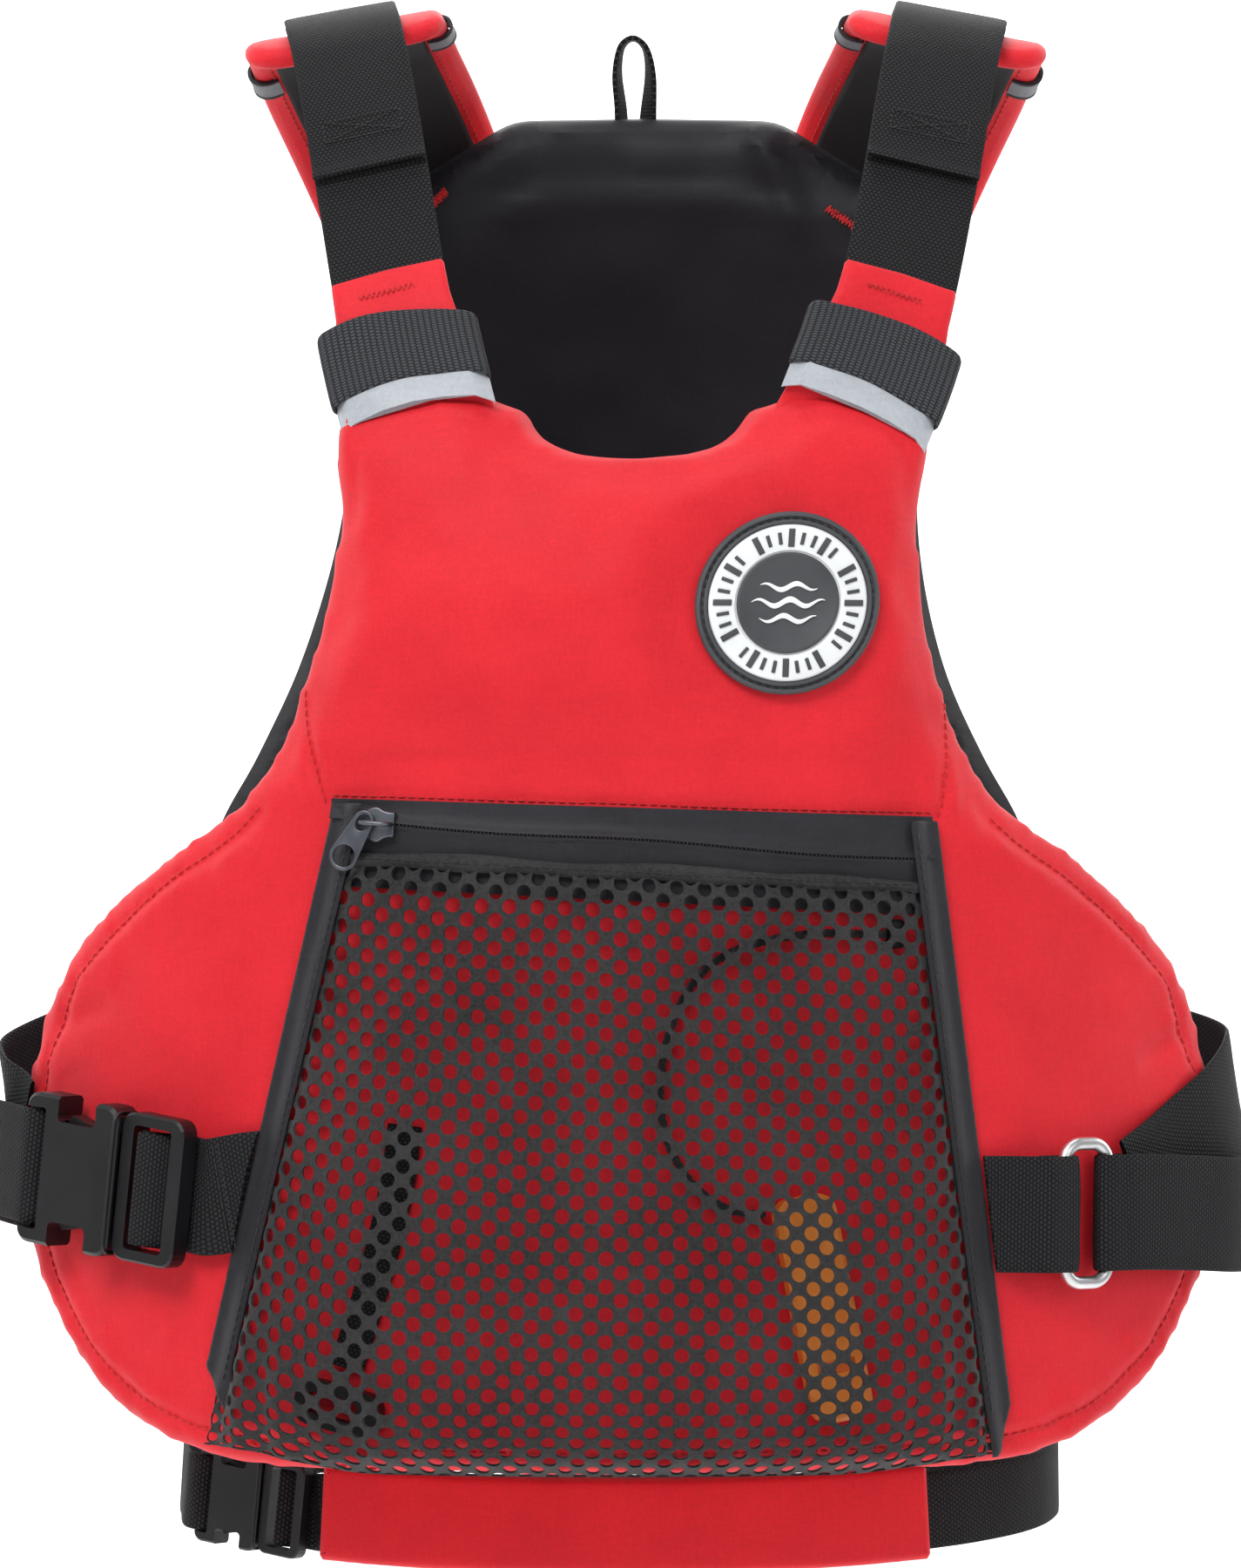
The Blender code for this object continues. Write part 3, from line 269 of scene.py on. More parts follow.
# ---------------------------------------------------------------- materials
class Paint:
    """A Principled material and short ways to add nodes to it."""

    def __init__(self, name, colour, roughness, **sockets):
        self.material = bpy.data.materials.new(name)
        self.material.use_nodes = True
        self.tree = self.material.node_tree
        self.shader = self.tree.nodes["Principled BSDF"]
        self.shader.inputs["Base Color"].default_value = (*colour, 1.0)
        self.shader.inputs["Roughness"].default_value = roughness
        for key, value in sockets.items():
            self.shader.inputs[key.replace("_", " ")].default_value = value
        self.coordinates = None

    def link(self, a, b):
        self.tree.links.new(a, b)

    def node(self, kind, **inputs):
        made = self.tree.nodes.new(kind)
        for key, value in inputs.items():
            socket = made.inputs[key.replace("_", " ")]
            if isinstance(value, bpy.types.NodeSocket):
                self.link(value, socket)
            else:
                socket.default_value = value
        return made

    def where(self):
        if self.coordinates is None:
            self.coordinates = self.tree.nodes.new("ShaderNodeTexCoord").outputs["Object"]
        return self.coordinates

    def strip(self):
        """(along, across) of a strip, in metres, from its own map."""
        made = self.tree.nodes.new("ShaderNodeUVMap")
        made.uv_map = "strip"
        parts = self.node("ShaderNodeSeparateXYZ", Vector=made.outputs[0])
        return parts.outputs[0], parts.outputs[1]

    def math(self, operation, a, b=0.0, c=0.0):
        made = self.tree.nodes.new("ShaderNodeMath")
        made.operation = operation
        for socket, value in zip(made.inputs, (a, b, c)):
            if isinstance(value, bpy.types.NodeSocket):
                self.link(value, socket)
            else:
                socket.default_value = value
        return made.outputs[0]

    def noise(self, scale, detail=3.0, rough=0.55, vector=None):
        return self.node("ShaderNodeTexNoise", Vector=vector or self.where(), Scale=scale, Detail=detail,
                         Roughness=rough).outputs["Fac"]

    def ramp(self, factor, stops):
        made = self.tree.nodes.new("ShaderNodeValToRGB")
        self.link(factor, made.inputs[0])
        elements = made.color_ramp.elements
        while len(elements) < len(stops):
            elements.new(0.5)
        for element, (position, colour) in zip(elements, stops):
            element.position = position
            element.color = (*colour, 1.0)
        return made.outputs[0]

    def colour(self, socket):
        self.link(socket, self.shader.inputs["Base Color"])

    def rough(self, factor, low, high):
        made = self.node("ShaderNodeMapRange", Value=factor, To_Min=low, To_Max=high)
        self.link(made.outputs[0], self.shader.inputs["Roughness"])

    def bump(self, height, distance, strength=1.0):
        made = self.node("ShaderNodeBump", Height=height, Distance=distance, Strength=strength)
        if self.shader.inputs["Normal"].is_linked:
            self.link(self.shader.inputs["Normal"].links[0].from_socket, made.inputs["Normal"])
        self.link(made.outputs[0], self.shader.inputs["Normal"])


def threads_of(paint, pitch):
    """A plain weave: fine noise drawn out along each of two directions."""
    total = None
    for stretch in ((1.0, 1.0, 0.16), (0.16, 0.16, 1.0)):
        laid = paint.node("ShaderNodeMapping", Vector=paint.where(), Scale=stretch).outputs[0]
        one = paint.noise(0.75 / pitch, 1.0, 0.4, laid)
        total = one if total is None else paint.math("ADD", total, one)
    return paint.math("MULTIPLY", total, 0.5)


def cloth_paint(name, dark, light, roughness, sheen=0.25, pitch=0.0007, weave=0.00006, grain=0.0):
    paint = Paint(name, light, roughness, Sheen_Weight=sheen, Sheen_Roughness=0.45)
    paint.shader.inputs["Specular IOR Level"].default_value = 0.25
    blotch = paint.noise(28.0, 4.0)
    fine = paint.noise(900.0, 2.0)
    threads = threads_of(paint, pitch)
    mixed = paint.math("MULTIPLY_ADD", fine, 0.30 + grain, paint.math("MULTIPLY", blotch, 0.45))
    mixed = paint.math("MULTIPLY_ADD", threads, 0.25, mixed)
    paint.colour(paint.ramp(mixed, [(0.30, dark), (0.70, light)]))
    paint.rough(blotch, roughness - 0.06, roughness + 0.06)
    paint.bump(threads, weave, 0.6)
    paint.bump(fine, 0.00008, 0.5)
    return paint.material


def webbing_paint(name, dark, light, roughness=0.6, along=0.0021, across=0.00105):
    """Woven strap: beads in columns, staggered, with flat bound edges; the bead pattern also sets the colour,
    painted shade in the gaps between beads and painted highlight on their tops.
    """
    paint = Paint(name, light, roughness)
    paint.shader.inputs["Specular IOR Level"].default_value = 0.10
    u, v = paint.strip()

    def swell(count):
        return paint.math("SINE", paint.math("MULTIPLY", paint.math("FRACT", count), math.pi))

    # The added whole number keeps the counts above zero.
    column = paint.math("ADD", paint.math("DIVIDE", u, along), 500.0)
    stagger = paint.math("MULTIPLY", paint.math("MODULO", paint.math("FLOOR", column), 2.0), 0.5)
    row = paint.math("ADD", paint.math("ADD", paint.math("DIVIDE", v, across), stagger), 500.0)
    bead = paint.math("MULTIPLY", paint.math("POWER", swell(column), 0.6), paint.math("POWER", swell(row), 0.8))
    fibre = paint.noise(1500.0, 2.0)
    mixed = paint.math("MULTIPLY_ADD", fibre, 0.3, paint.math("MULTIPLY", bead, 0.75))
    # Painted shade in the gaps between beads and painted highlight on the bead tops, from the bead pattern.
    paint.colour(paint.ramp(mixed, [(0.10, dark), (0.85, light)]))
    paint.rough(fibre, roughness - 0.1, roughness + 0.1)
    paint.bump(bead, 0.00035, 0.9)
    paint.bump(fibre, 0.00008, 0.4)
    return paint.material


def plastic_paint(name, dark, light, roughness, grain=0.00003, coat=0.0):
    paint = Paint(name, light, roughness, Coat_Weight=coat, Coat_Roughness=0.12)
    blotch = paint.noise(60.0, 3.0)
    fine = paint.noise(2600.0, 2.0)
    paint.colour(paint.ramp(blotch, [(0.30, dark), (0.70, light)]))
    paint.rough(blotch, roughness - 0.05, roughness + 0.07)
    paint.bump(fine, grain, 0.5)
    return paint.material


def metal_paint(name, dark, light, roughness, scratch=0.00002):
    paint = Paint(name, light, roughness, Metallic=1.0)
    blotch = paint.noise(140.0, 4.0)
    stretched = paint.node("ShaderNodeMapping", Vector=paint.where(), Scale=(1.0, 1.0, 14.0)).outputs[0]
    lines = paint.noise(700.0, 3.0, 0.6, stretched)
    paint.colour(paint.ramp(blotch, [(0.25, dark), (0.75, light)]))
    paint.rough(lines, roughness - 0.07, roughness + 0.10)
    paint.bump(lines, scratch, 0.5)
    return paint.material


RED = cloth_paint("red_nylon", (0.62, 0.010, 0.021), (0.84, 0.020, 0.033), 0.62, sheen=0.12)
# The thread's red is darker than the cloth's, as painted shade along the puckered seams.
RED_THREAD = cloth_paint("red_thread", (0.42, 0.010, 0.013), (0.66, 0.022, 0.026), 0.75, pitch=0.0004)
BLACK_CLOTH = cloth_paint("black_nylon", (0.0045, 0.0043, 0.0065), (0.0110, 0.0105, 0.0150), 0.52, sheen=0.06)
SATIN = cloth_paint("black_satin_tape", (0.014, 0.0135, 0.017), (0.030, 0.029, 0.035), 0.56, sheen=0.10,
                    pitch=0.0009, weave=0.00008)
NEOPRENE = cloth_paint("neoprene", (0.004, 0.004, 0.005), (0.010, 0.010, 0.012), 0.90, sheen=0.12,
                       pitch=0.0012)
# Each webbing's dark is painted shade between its beads, its light painted highlight on them.
WEBBING = webbing_paint("black_webbing", (0.0016, 0.0016, 0.0020), (0.0330, 0.0330, 0.0360),
                        along=0.0012, across=0.0016)
KEEPER = webbing_paint("grey_webbing", (0.004, 0.004, 0.005), (0.080, 0.083, 0.092))
KNIT = cloth_paint("black_knit", (0.004, 0.004, 0.004), (0.042, 0.040, 0.041), 0.80, sheen=0.08, pitch=0.0008,
                   weave=0.00020, grain=0.15)
BLACK_THREAD = cloth_paint("black_thread", (0.012, 0.012, 0.013), (0.040, 0.040, 0.042), 0.65, pitch=0.0004)
REFLECTIVE = cloth_paint("grey_reflective", (0.36, 0.385, 0.42), (0.54, 0.57, 0.62), 0.42, sheen=0.1,
                         pitch=0.0010)
# A darker copy of the reflective tape for the pad bands: painted shade, as they lie turned away from the light.
SHADED_REFLECTIVE = cloth_paint("shaded_reflective", (0.13, 0.14, 0.155), (0.21, 0.22, 0.24), 0.50, sheen=0.1,
                              pitch=0.0010)
PLASTIC = plastic_paint("black_acetal", (0.0030, 0.0030, 0.0042), (0.0065, 0.0065, 0.0085), 0.42)
ORANGE = plastic_paint("orange_plastic", (0.95, 0.25, 0.025), (1.0, 0.33, 0.05), 0.35, coat=0.3)
GUNMETAL = metal_paint("gunmetal", (0.10, 0.11, 0.13), (0.20, 0.21, 0.24), 0.42)
STEEL = metal_paint("polished_steel", (0.62, 0.62, 0.63), (0.82, 0.82, 0.83), 0.34)
RUBBER = plastic_paint("charcoal_rubber", (0.050, 0.052, 0.058), (0.072, 0.075, 0.082), 0.60, 0.00006)
PALE_RUBBER = plastic_paint("pale_rubber", (0.84, 0.87, 0.88), (0.93, 0.95, 0.96), 0.52, 0.00005)


# ---------------------------------------------------------------- mesh helpers
def finish(piece, slot, *nodes, body="jacket"):
    """Puts a piece on its body in the place of the CAD's own nodes."""
    if nodes:
        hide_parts(*nodes)
    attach(piece, body)
    return piece


def link(obj, material):
    scene.collection.objects.link(obj)
    if material is not None:
        obj.data.materials.append(material)
    return obj


def mesh_object(name, verts, faces, material, uvs=None, angle=40.0):
    mesh = bpy.data.meshes.new(name)
    mesh.from_pydata([tuple(v) for v in verts], [], faces)
    mesh.validate()
    if uvs is not None:
        layer = mesh.uv_layers.new(name="strip")
        corners = np.empty(len(mesh.loops), np.int32)
        mesh.loops.foreach_get("vertex_index", corners)
        layer.data.foreach_set("uv", np.asarray(uvs, np.float32)[corners].ravel())
    made = link(bpy.data.objects.new(name, mesh), material)
    shade(made, angle)
    return made


def shade(obj, angle=40.0):
    obj.data.shade_smooth()
    obj.data.set_sharp_from_angle(angle=math.radians(angle))


def baked(obj):
    """Applies an object's modifiers."""
    graph = bpy.context.evaluated_depsgraph_get()
    graph.update()
    mesh = bpy.data.meshes.new_from_object(obj.evaluated_get(graph))
    obj.modifiers.clear()
    old = obj.data
    obj.data = mesh
    bpy.data.meshes.remove(old)
    return obj


def coords(mesh):
    out = np.empty(len(mesh.vertices) * 3, np.float32)
    mesh.vertices.foreach_get("co", out)
    return out.reshape(-1, 3).astype(float)


def set_coords(mesh, points):
    mesh.vertices.foreach_set("co", np.asarray(points, np.float32).ravel())
    mesh.update()


def subdivided(obj):
    obj.modifiers.new("subdivide", "SUBSURF").levels = 1
    return baked(obj)


def tube_faces(rings, count, closed_path=False):
    """Faces round a row of rings, with an end cap on both ends unless the row closes on itself."""
    faces = []
    for i in range(rings if closed_path else rings - 1):
        j = (i + 1) % rings
        for k in range(count):
            m = (k + 1) % count
            faces.append((i * count + k, j * count + k, j * count + m, i * count + m))
    if not closed_path:
        faces.append(tuple(range(count)))
        faces.append(tuple(reversed(range((rings - 1) * count, rings * count))))
    return faces


def strap_profile(width, low, high):
    """A flat strap's cross-section with rounded edges, as (depth, across) points."""
    w, middle, half = width / 2, (low + high) / 2, (high - low) / 2
    top = []
    for x in (-1.0, -0.96, -0.80, -0.4, 0.0, 0.4, 0.80, 0.96, 1.0):
        edge = 0.25 if abs(x) == 1.0 else (0.85 if abs(x) == 0.96 else 1.0)
        top.append((middle + half * edge, x * w))
    return top + [(2 * middle - d, a) for d, a in reversed(top)]


def strap(name, line, start, end, width, low, high, material, step=0.002, wave=0.0, slant=0.0, lift=None,
          bow=None):
    """A woven strap along a ribbon, with its own (along, across) map."""
    profile = strap_profile(width, low, high)
    rings = max(3, math.ceil((end - start) / step) + 1)
    verts, uvs = [], []
    seed = sum(map(ord, name)) * 0.01
    for i in range(rings):
        t = i / (rings - 1)
        for d, a in profile:
            along = start + (end - start) * t + slant * (0.5 - a / width) * (1 - t) + (bow(a) if bow else 0.0)
            rise = wave * noise.noise(Vector((along * 45 + seed, a * 30, seed)))
            rise += lift(along, a) if lift else 0.0
            verts.append(line.place(along, d + rise, a))
            uvs.append((along, a))
    return mesh_object(name, verts, tube_faces(rings, len(profile)), material, uvs, 50.0)


def thread_mesh(name, runs, material, radius=0.00028, stitch=0.0024, gap=0.0009, arch=0.00012):
    """Stitches along each run, a list of (point, normal), as small arched threads."""
    verts, faces = [], []
    sides = 5
    rings = ((0.0, 0.35, -1.0), (0.12, 0.9, 0.1), (0.5, 1.0, 1.0), (0.88, 0.9, 0.1), (1.0, 0.35, -1.0))
    for run in runs:
        lengths = [0.0]
        for (p, _), (q, _) in zip(run, run[1:]):
            lengths.append(lengths[-1] + (q - p).length)

        def reached(distance):
            k = min(max(np.searchsorted(lengths, distance) - 1, 0), len(run) - 2)
            span = lengths[k + 1] - lengths[k]
            t = min(1.0, max(0.0, (distance - lengths[k]) / span)) if span > 0 else 0.0
            return run[k][0].lerp(run[k + 1][0], t), run[k][1].lerp(run[k + 1][1], t).normalized()

        position = gap / 2
        while position + stitch <= lengths[-1]:
            base = len(verts)
            for t, thick, up in rings:
                point, normal = reached(position + stitch * t)
                ahead, _ = reached(position + stitch * min(1.0, t + 0.1))
                behind, _ = reached(position + stitch * max(0.0, t - 0.1))
                tangent = (ahead - behind).normalized()
                side = tangent.cross(normal).normalized()
                centre = point + normal * (arch * up + radius * 0.5)
                for s in range(sides):
                    turn = 2 * math.pi * s / sides
                    verts.append(centre + (side * math.cos(turn) + normal * math.sin(turn)) * radius * thick)
            for face in tube_faces(len(rings), sides):
                faces.append(tuple(base + f for f in face))
            position += stitch + gap
    return mesh_object(name, verts, faces, material, angle=80.0)


class Skin:
    """Finds points on a piece's surface from a mapping such as front(u, depth, v)."""

    def __init__(self, obj):
        mesh = obj.data
        mesh.calc_loop_triangles()
        self.tree = BVHTree.FromPolygons([v.co for v in mesh.vertices],
                                         [tuple(t.vertices) for t in mesh.loop_triangles])

    def hit(self, place, u, v, lift=0.0, reach=0.02):
        start = place(u, reach, v)
        inward = (place(u, -reach, v) - start).normalized()
        found = self.tree.ray_cast(start, inward, 4 * reach)
        if found[0] is None:
            return None
        normal = found[1] if found[1].dot(inward) < 0 else -found[1]
        return found[0] + normal * lift, normal

    def run(self, place, points, lift=0.0, step=0.0015, per_span=8):
        curve = spline2(points, per_span) if len(points) > 2 else points
        line = even([(x, y, 0) for x, y in curve], step)
        return [found for found in (self.hit(place, p.x, p.y, lift) for p in line) if found]

    def seen(self, place, x, y, outside, inside, lift):
        """The surface met on the way from one depth to another, raised a little, with the way back; or None."""
        start = place(x, outside, y)
        inward = (place(x, inside, y) - start).normalized()
        found = self.tree.ray_cast(start, inward, 0.04)
        return None if found[0] is None else (found[0] - inward * lift, -inward)


# ---------------------------------------------------------------- panel outlines, as in the CAD
FRONT_HALF = ([(0.000, 0.0255), (0.060, 0.0260), (0.108, 0.0275)]
              + spline2([(0.130, 0.0292), (0.156, 0.0370), (0.180, 0.0550), (0.199, 0.0880), (0.2055, 0.1260),
                         (0.2020, 0.1570), (0.1890, 0.1950), (0.1580, 0.2275), (0.1300, 0.2480), (0.1130, 0.2790),
                         (0.1025, 0.3180), (0.0980, 0.3500), (0.0970, 0.3680)], 6)
              + [(0.045, 0.3800), (0.0415, 0.3725), (0.0335, 0.3662), (0.0200, 0.3625), (0.000, 0.3610)])
BACK_HALF = ([(0.000, 0.0300), (0.090, 0.0310)]
             + spline2([(0.122, 0.0360), (0.145, 0.0600), (0.153, 0.1000), (0.155, 0.1500), (0.152, 0.2000),
                        (0.142, 0.2350), (0.128, 0.2600), (0.112, 0.2950), (0.101, 0.3400), (0.099, 0.3900),
                        (0.104, 0.4440)], 6)
             + [(0.082, 0.4560), (0.047, 0.4765), (0.000, 0.4775)])


def whole(half):
    return [tuple(p) for p in half] + [(-x, z) for x, z in reversed(half) if x > 1e-6]


def softened(outline, step=0.003, rounds=3):
    """The outline with points a step apart and its corners eased."""
    pts = even_outline(outline, step)
    for _ in range(rounds):
        pts = 0.5 * pts + 0.25 * (np.roll(pts, 1, 0) + np.roll(pts, -1, 0))
    return pts


def inset(points, distance):
    """A closed outline moved inwards (it runs anticlockwise)."""
    ahead = np.roll(points, -1, 0) - np.roll(points, 1, 0)
    ahead /= np.linalg.norm(ahead, axis=1)[:, None]
    moved = points + distance * np.stack([-ahead[:, 1], ahead[:, 0]], 1)
    for _ in range(int(distance / 0.002)):
        moved = 0.5 * moved + 0.25 * (np.roll(moved, 1, 0) + np.roll(moved, -1, 0))
    return moved


def edge_distance(points, outline):
    """How far each point is inside a closed outline (negative outside)."""
    points = np.asarray(points, float)
    a, b = outline, np.roll(outline, -1, 0)
    best = np.full(len(points), 1e9)
    inside = np.zeros(len(points), bool)
    for p, q in zip(a, b):
        d = q - p
        t = np.clip(((points - p) @ d) / max(d @ d, 1e-18), 0, 1)
        best = np.minimum(best, np.hypot(*(points - (p + t[:, None] * d)).T))
        crosses = (p[1] > points[:, 1]) != (q[1] > points[:, 1])
        with np.errstate(divide="ignore", invalid="ignore"):
            x = p[0] + (points[:, 1] - p[1]) * d[0] / d[1]
        inside ^= crosses & (points[:, 0] < x)
    return np.where(inside, best, -best)


def towards_edge(points, outline):
    """The unit direction from each point to the nearest point of a closed outline."""
    points = np.asarray(points, float)
    best = np.full(len(points), 1e9)
    nearest = np.zeros_like(points)
    for p, q in zip(outline, np.roll(outline, -1, 0)):
        d = q - p
        t = np.clip(((points - p) @ d) / max(d @ d, 1e-18), 0, 1)
        foot = p + t[:, None] * d
        far = np.hypot(*(points - foot).T)
        closer = far < best
        best[closer] = far[closer]
        nearest[closer] = foot[closer]
    return (nearest - points) / np.maximum(best, 1e-6)[:, None]


FRONT_OUTLINE = softened(whole(FRONT_HALF))
BACK_OUTLINE = softened(whole(BACK_HALF))


def flat_coords(points, axis_y, sign, lean, lean_from):
    """World points as (u, depth, v) of a panel's cylinder."""
    hem = points + np.array(OFFSET)
    v = hem[:, 2]
    t = np.clip((v - 0.270) / 0.180, 0, 1)
    x = hem[:, 0] - 0.0085 * t * t * (3 - 2 * t)
    y = (hem[:, 1] - axis_y - sign * lean * np.maximum(0, v - lean_from) ** 2) * -sign
    radius = np.hypot(x, y)
    return R * x / radius, radius - R, v


# ---------------------------------------------------------------- padded shells
def vertex_normals(mesh):
    out = np.empty(len(mesh.vertices) * 3, np.float32)
    mesh.vertex_normals.foreach_get("vector", out)
    return out.reshape(-1, 3).astype(float)


COVER = 0.0015


def remeshed(name, node, voxel):
    obj = bpy.data.objects.new(name, NODES[node].data.copy())
    obj.data.materials.clear()
    scene.collection.objects.link(obj)
    mod = obj.modifiers.new("remesh", "REMESH")
    mod.mode = "VOXEL"
    mod.voxel_size = voxel
    baked(obj)
    set_coords(obj.data, coords(obj.data) + vertex_normals(obj.data) * COVER)
    return obj


def puffed(obj, pressure, cap, frames=20):
    """Inflates a closed piece a little, as stuffing does, so that its cloth rounds and wrinkles."""
    rest = coords(obj.data)
    cloth = obj.modifiers.new("cloth", "CLOTH")
    cloth.settings.quality = 4
    cloth.settings.mass = 0.25
    cloth.settings.tension_stiffness = 12.0
    cloth.settings.compression_stiffness = 12.0
    cloth.settings.shear_stiffness = 6.0
    cloth.settings.bending_stiffness = 0.4
    cloth.settings.use_pressure = True
    cloth.settings.uniform_pressure_force = pressure
    cloth.settings.effector_weights.gravity = 0.0
    cloth.point_cache.frame_start = 1
    cloth.point_cache.frame_end = frames
    for number in range(1, frames + 1):
        scene.frame_set(number)
    graph = bpy.context.evaluated_depsgraph_get()
    swollen = coords(obj.evaluated_get(graph).data)
    obj.modifiers.clear()
    scene.frame_set(1)
    move = swollen - rest
    far = np.linalg.norm(move, axis=1)
    move *= (np.minimum(far, cap) / np.maximum(far, 1e-9))[:, None]
    set_coords(obj.data, rest + move)
    return obj


def press_seams(obj, seams):
    """Sinks a groove along each seam, a list of points, with puckered cloth beside it."""
    mesh = obj.data
    points, normals = coords(mesh), vertex_normals(mesh)
    shift = np.zeros(len(points))
    for line, depth, width in seams:
        dense = even(line, 0.0015)
        tree = KDTree(len(dense))
        for i, p in enumerate(dense):
            tree.insert(p, i)
        tree.balance()
        low = np.min([tuple(p) for p in dense], axis=0) - 6 * width
        high = np.max([tuple(p) for p in dense], axis=0) + 6 * width
        for i in np.nonzero(np.all((points > low) & (points < high), axis=1))[0]:
            _, where, far = tree.find(points[i])
            if far < 6 * width:
                along = where * 0.0015
                pucker = noise.noise(Vector((along * 110, depth * 900, 3.7)))
                shift[i] -= depth * math.exp(-(far / width) ** 2)
                beside = math.exp(-((far - 2.6 * width) / (1.5 * width)) ** 2)
                shift[i] += depth * (0.30 + 0.55 * pucker) * beside
    set_coords(mesh, points + normals * shift[:, None])


def add_folds(obj, folds):
    """Soft folds, each (start, end, width, height); a negative height is a dip."""
    mesh = obj.data
    points, normals = coords(mesh), vertex_normals(mesh)
    shift = np.zeros(len(points))
    for start, end, width, height in folds:
        a, d = np.array(start), np.array(end) - np.array(start)
        t = ((points - a) @ d) / (d @ d)
        near = points - (a + np.clip(t, 0, 1)[:, None] * d)
        far = np.linalg.norm(near, axis=1)
        fade = np.sin(np.clip(t, 0, 1) * math.pi) ** 0.7
        shift += height * np.exp(-(far / width) ** 2) * np.maximum(fade, 0.0)
    set_coords(mesh, points + normals * shift[:, None])


def ripple(obj, scale, height, stretch=(1.0, 1.0, 1.0), seed=0.0, mask=None):
    mesh = obj.data
    points, normals = coords(mesh), vertex_normals(mesh)
    scaled = points * np.array(stretch) * scale + seed
    shift = np.array([noise.noise(Vector(p)) for p in scaled]) * height
    if mask is not None:
        shift *= mask
    set_coords(mesh, points + normals * shift[:, None])


def filled_out(obj, outline, axis_y, sign, lean, lean_from):
    """Draws a shell's rim out to its cut outline, which the voxels and the foam's own edge fall short of."""
    points = coords(obj.data)
    u, _, v = flat_coords(points, axis_y, sign, lean, lean_from)
    flat = np.stack([u, v], 1)
    inside = edge_distance(flat, outline)
    short = max(0.0, float(np.percentile(inside, 2.0)) - 0.0004)
    draw = short * np.clip(1.0 - (inside - short) / 0.030, 0.0, 1.0) * (inside > 0.0)
    way = towards_edge(flat, outline) * draw[:, None]
    along = np.sqrt(1.0 - np.clip(u / R, -1, 1) ** 2)
    moved = np.stack([way[:, 0], sign * way[:, 0] * (u / R) / along, way[:, 1]], 1)
    set_coords(obj.data, points + moved)


def out_of_front(u):
    """The direction out of the front panel's cylinder at each u."""
    return np.stack([u / R, -np.sqrt(np.maximum(0, 1 - (u / R) ** 2)), np.zeros_like(u)], 1)


BADGE_AT = (0.0525, 0.3114)

# Front panel: its face is held down under the pocket and the badge, and rises over the chest.
front_shell = puffed(remeshed("front_panel_shell", "front_foam", 0.0042), 5.0, 0.0040)
front_shell.data.materials.append(RED)
filled_out(front_shell, FRONT_OUTLINE, FRONT_AXIS, 1, 2.2, 0.290)
points = coords(front_shell.data)
u, depth, v = flat_coords(points, FRONT_AXIS, 1, 2.2, 0.290)
inside = edge_distance(np.stack([u, v], 1), FRONT_OUTLINE)
limit = np.full(len(u), -0.0006)
badge_far = np.hypot(u - BADGE_AT[0], v - BADGE_AT[1])
chest = np.clip((v - 0.258) / 0.03, 0, 1) * np.clip((badge_far - 0.034) / 0.02, 0, 1)
limit += 0.0042 * chest * np.clip((inside - 0.006) / 0.03, 0, 1)
over = np.maximum(0.0, depth - limit)
facing = (depth > -0.012)
points -= out_of_front(u) * (over * facing)[:, None]
lift_chest = 0.0030 * chest * np.clip((inside - 0.010) / 0.035, 0, 1) ** 0.7
points += out_of_front(u) * (lift_chest * facing)[:, None]
set_coords(front_shell.data, points)
subdivided(front_shell)

GUSSET = inset(FRONT_OUTLINE, 0.0100)
CHEST_SEAMS = [[(-0.0964, 0.2462), (-0.1000, 0.2575), (-0.1032, 0.2680), (-0.1052, 0.2780),
                (-0.1056, 0.2850)],
               [(0.1040, 0.2415), (0.1060, 0.2500), (0.1082, 0.2620), (0.1094, 0.2740), (0.1085, 0.2820)]]
POCKET_CORNER = [(-0.128, 0.0487), (-0.1211, 0.0368), (-0.1025, 0.0323), (-0.0748, 0.0291)]
TOP_STITCH = [(-0.0945, 0.2492), (-0.0500, 0.2478), (0.0, 0.2463), (0.0500, 0.2446), (0.1030, 0.2434)]


def on_front(line, lift=0.0):
    return [front(x, lift, y) for x, y in line]


def bottom_half(outline, top):
    """The part of a closed outline below a height, as one open line from left to right."""
    keep = [i for i in range(len(outline)) if outline[i][1] < top]
    start = next(i for i in keep if outline[i - 1][1] >= top)
    line = []
    for k in range(len(outline)):
        p = outline[(start + k) % len(outline)]
        if p[1] >= top:
            break
        line.append((float(p[0]), float(p[1])))
    return line


wing_seam = bottom_half(GUSSET, 0.247)
press_seams(front_shell, [([front(x, -0.0015, y) for x, y in wing_seam], 0.0016, 0.0020)]
            + [(on_front(s, -0.0008), 0.0013, 0.0018) for s in CHEST_SEAMS]
            + [(on_front(TOP_STITCH), 0.0007, 0.0013)])


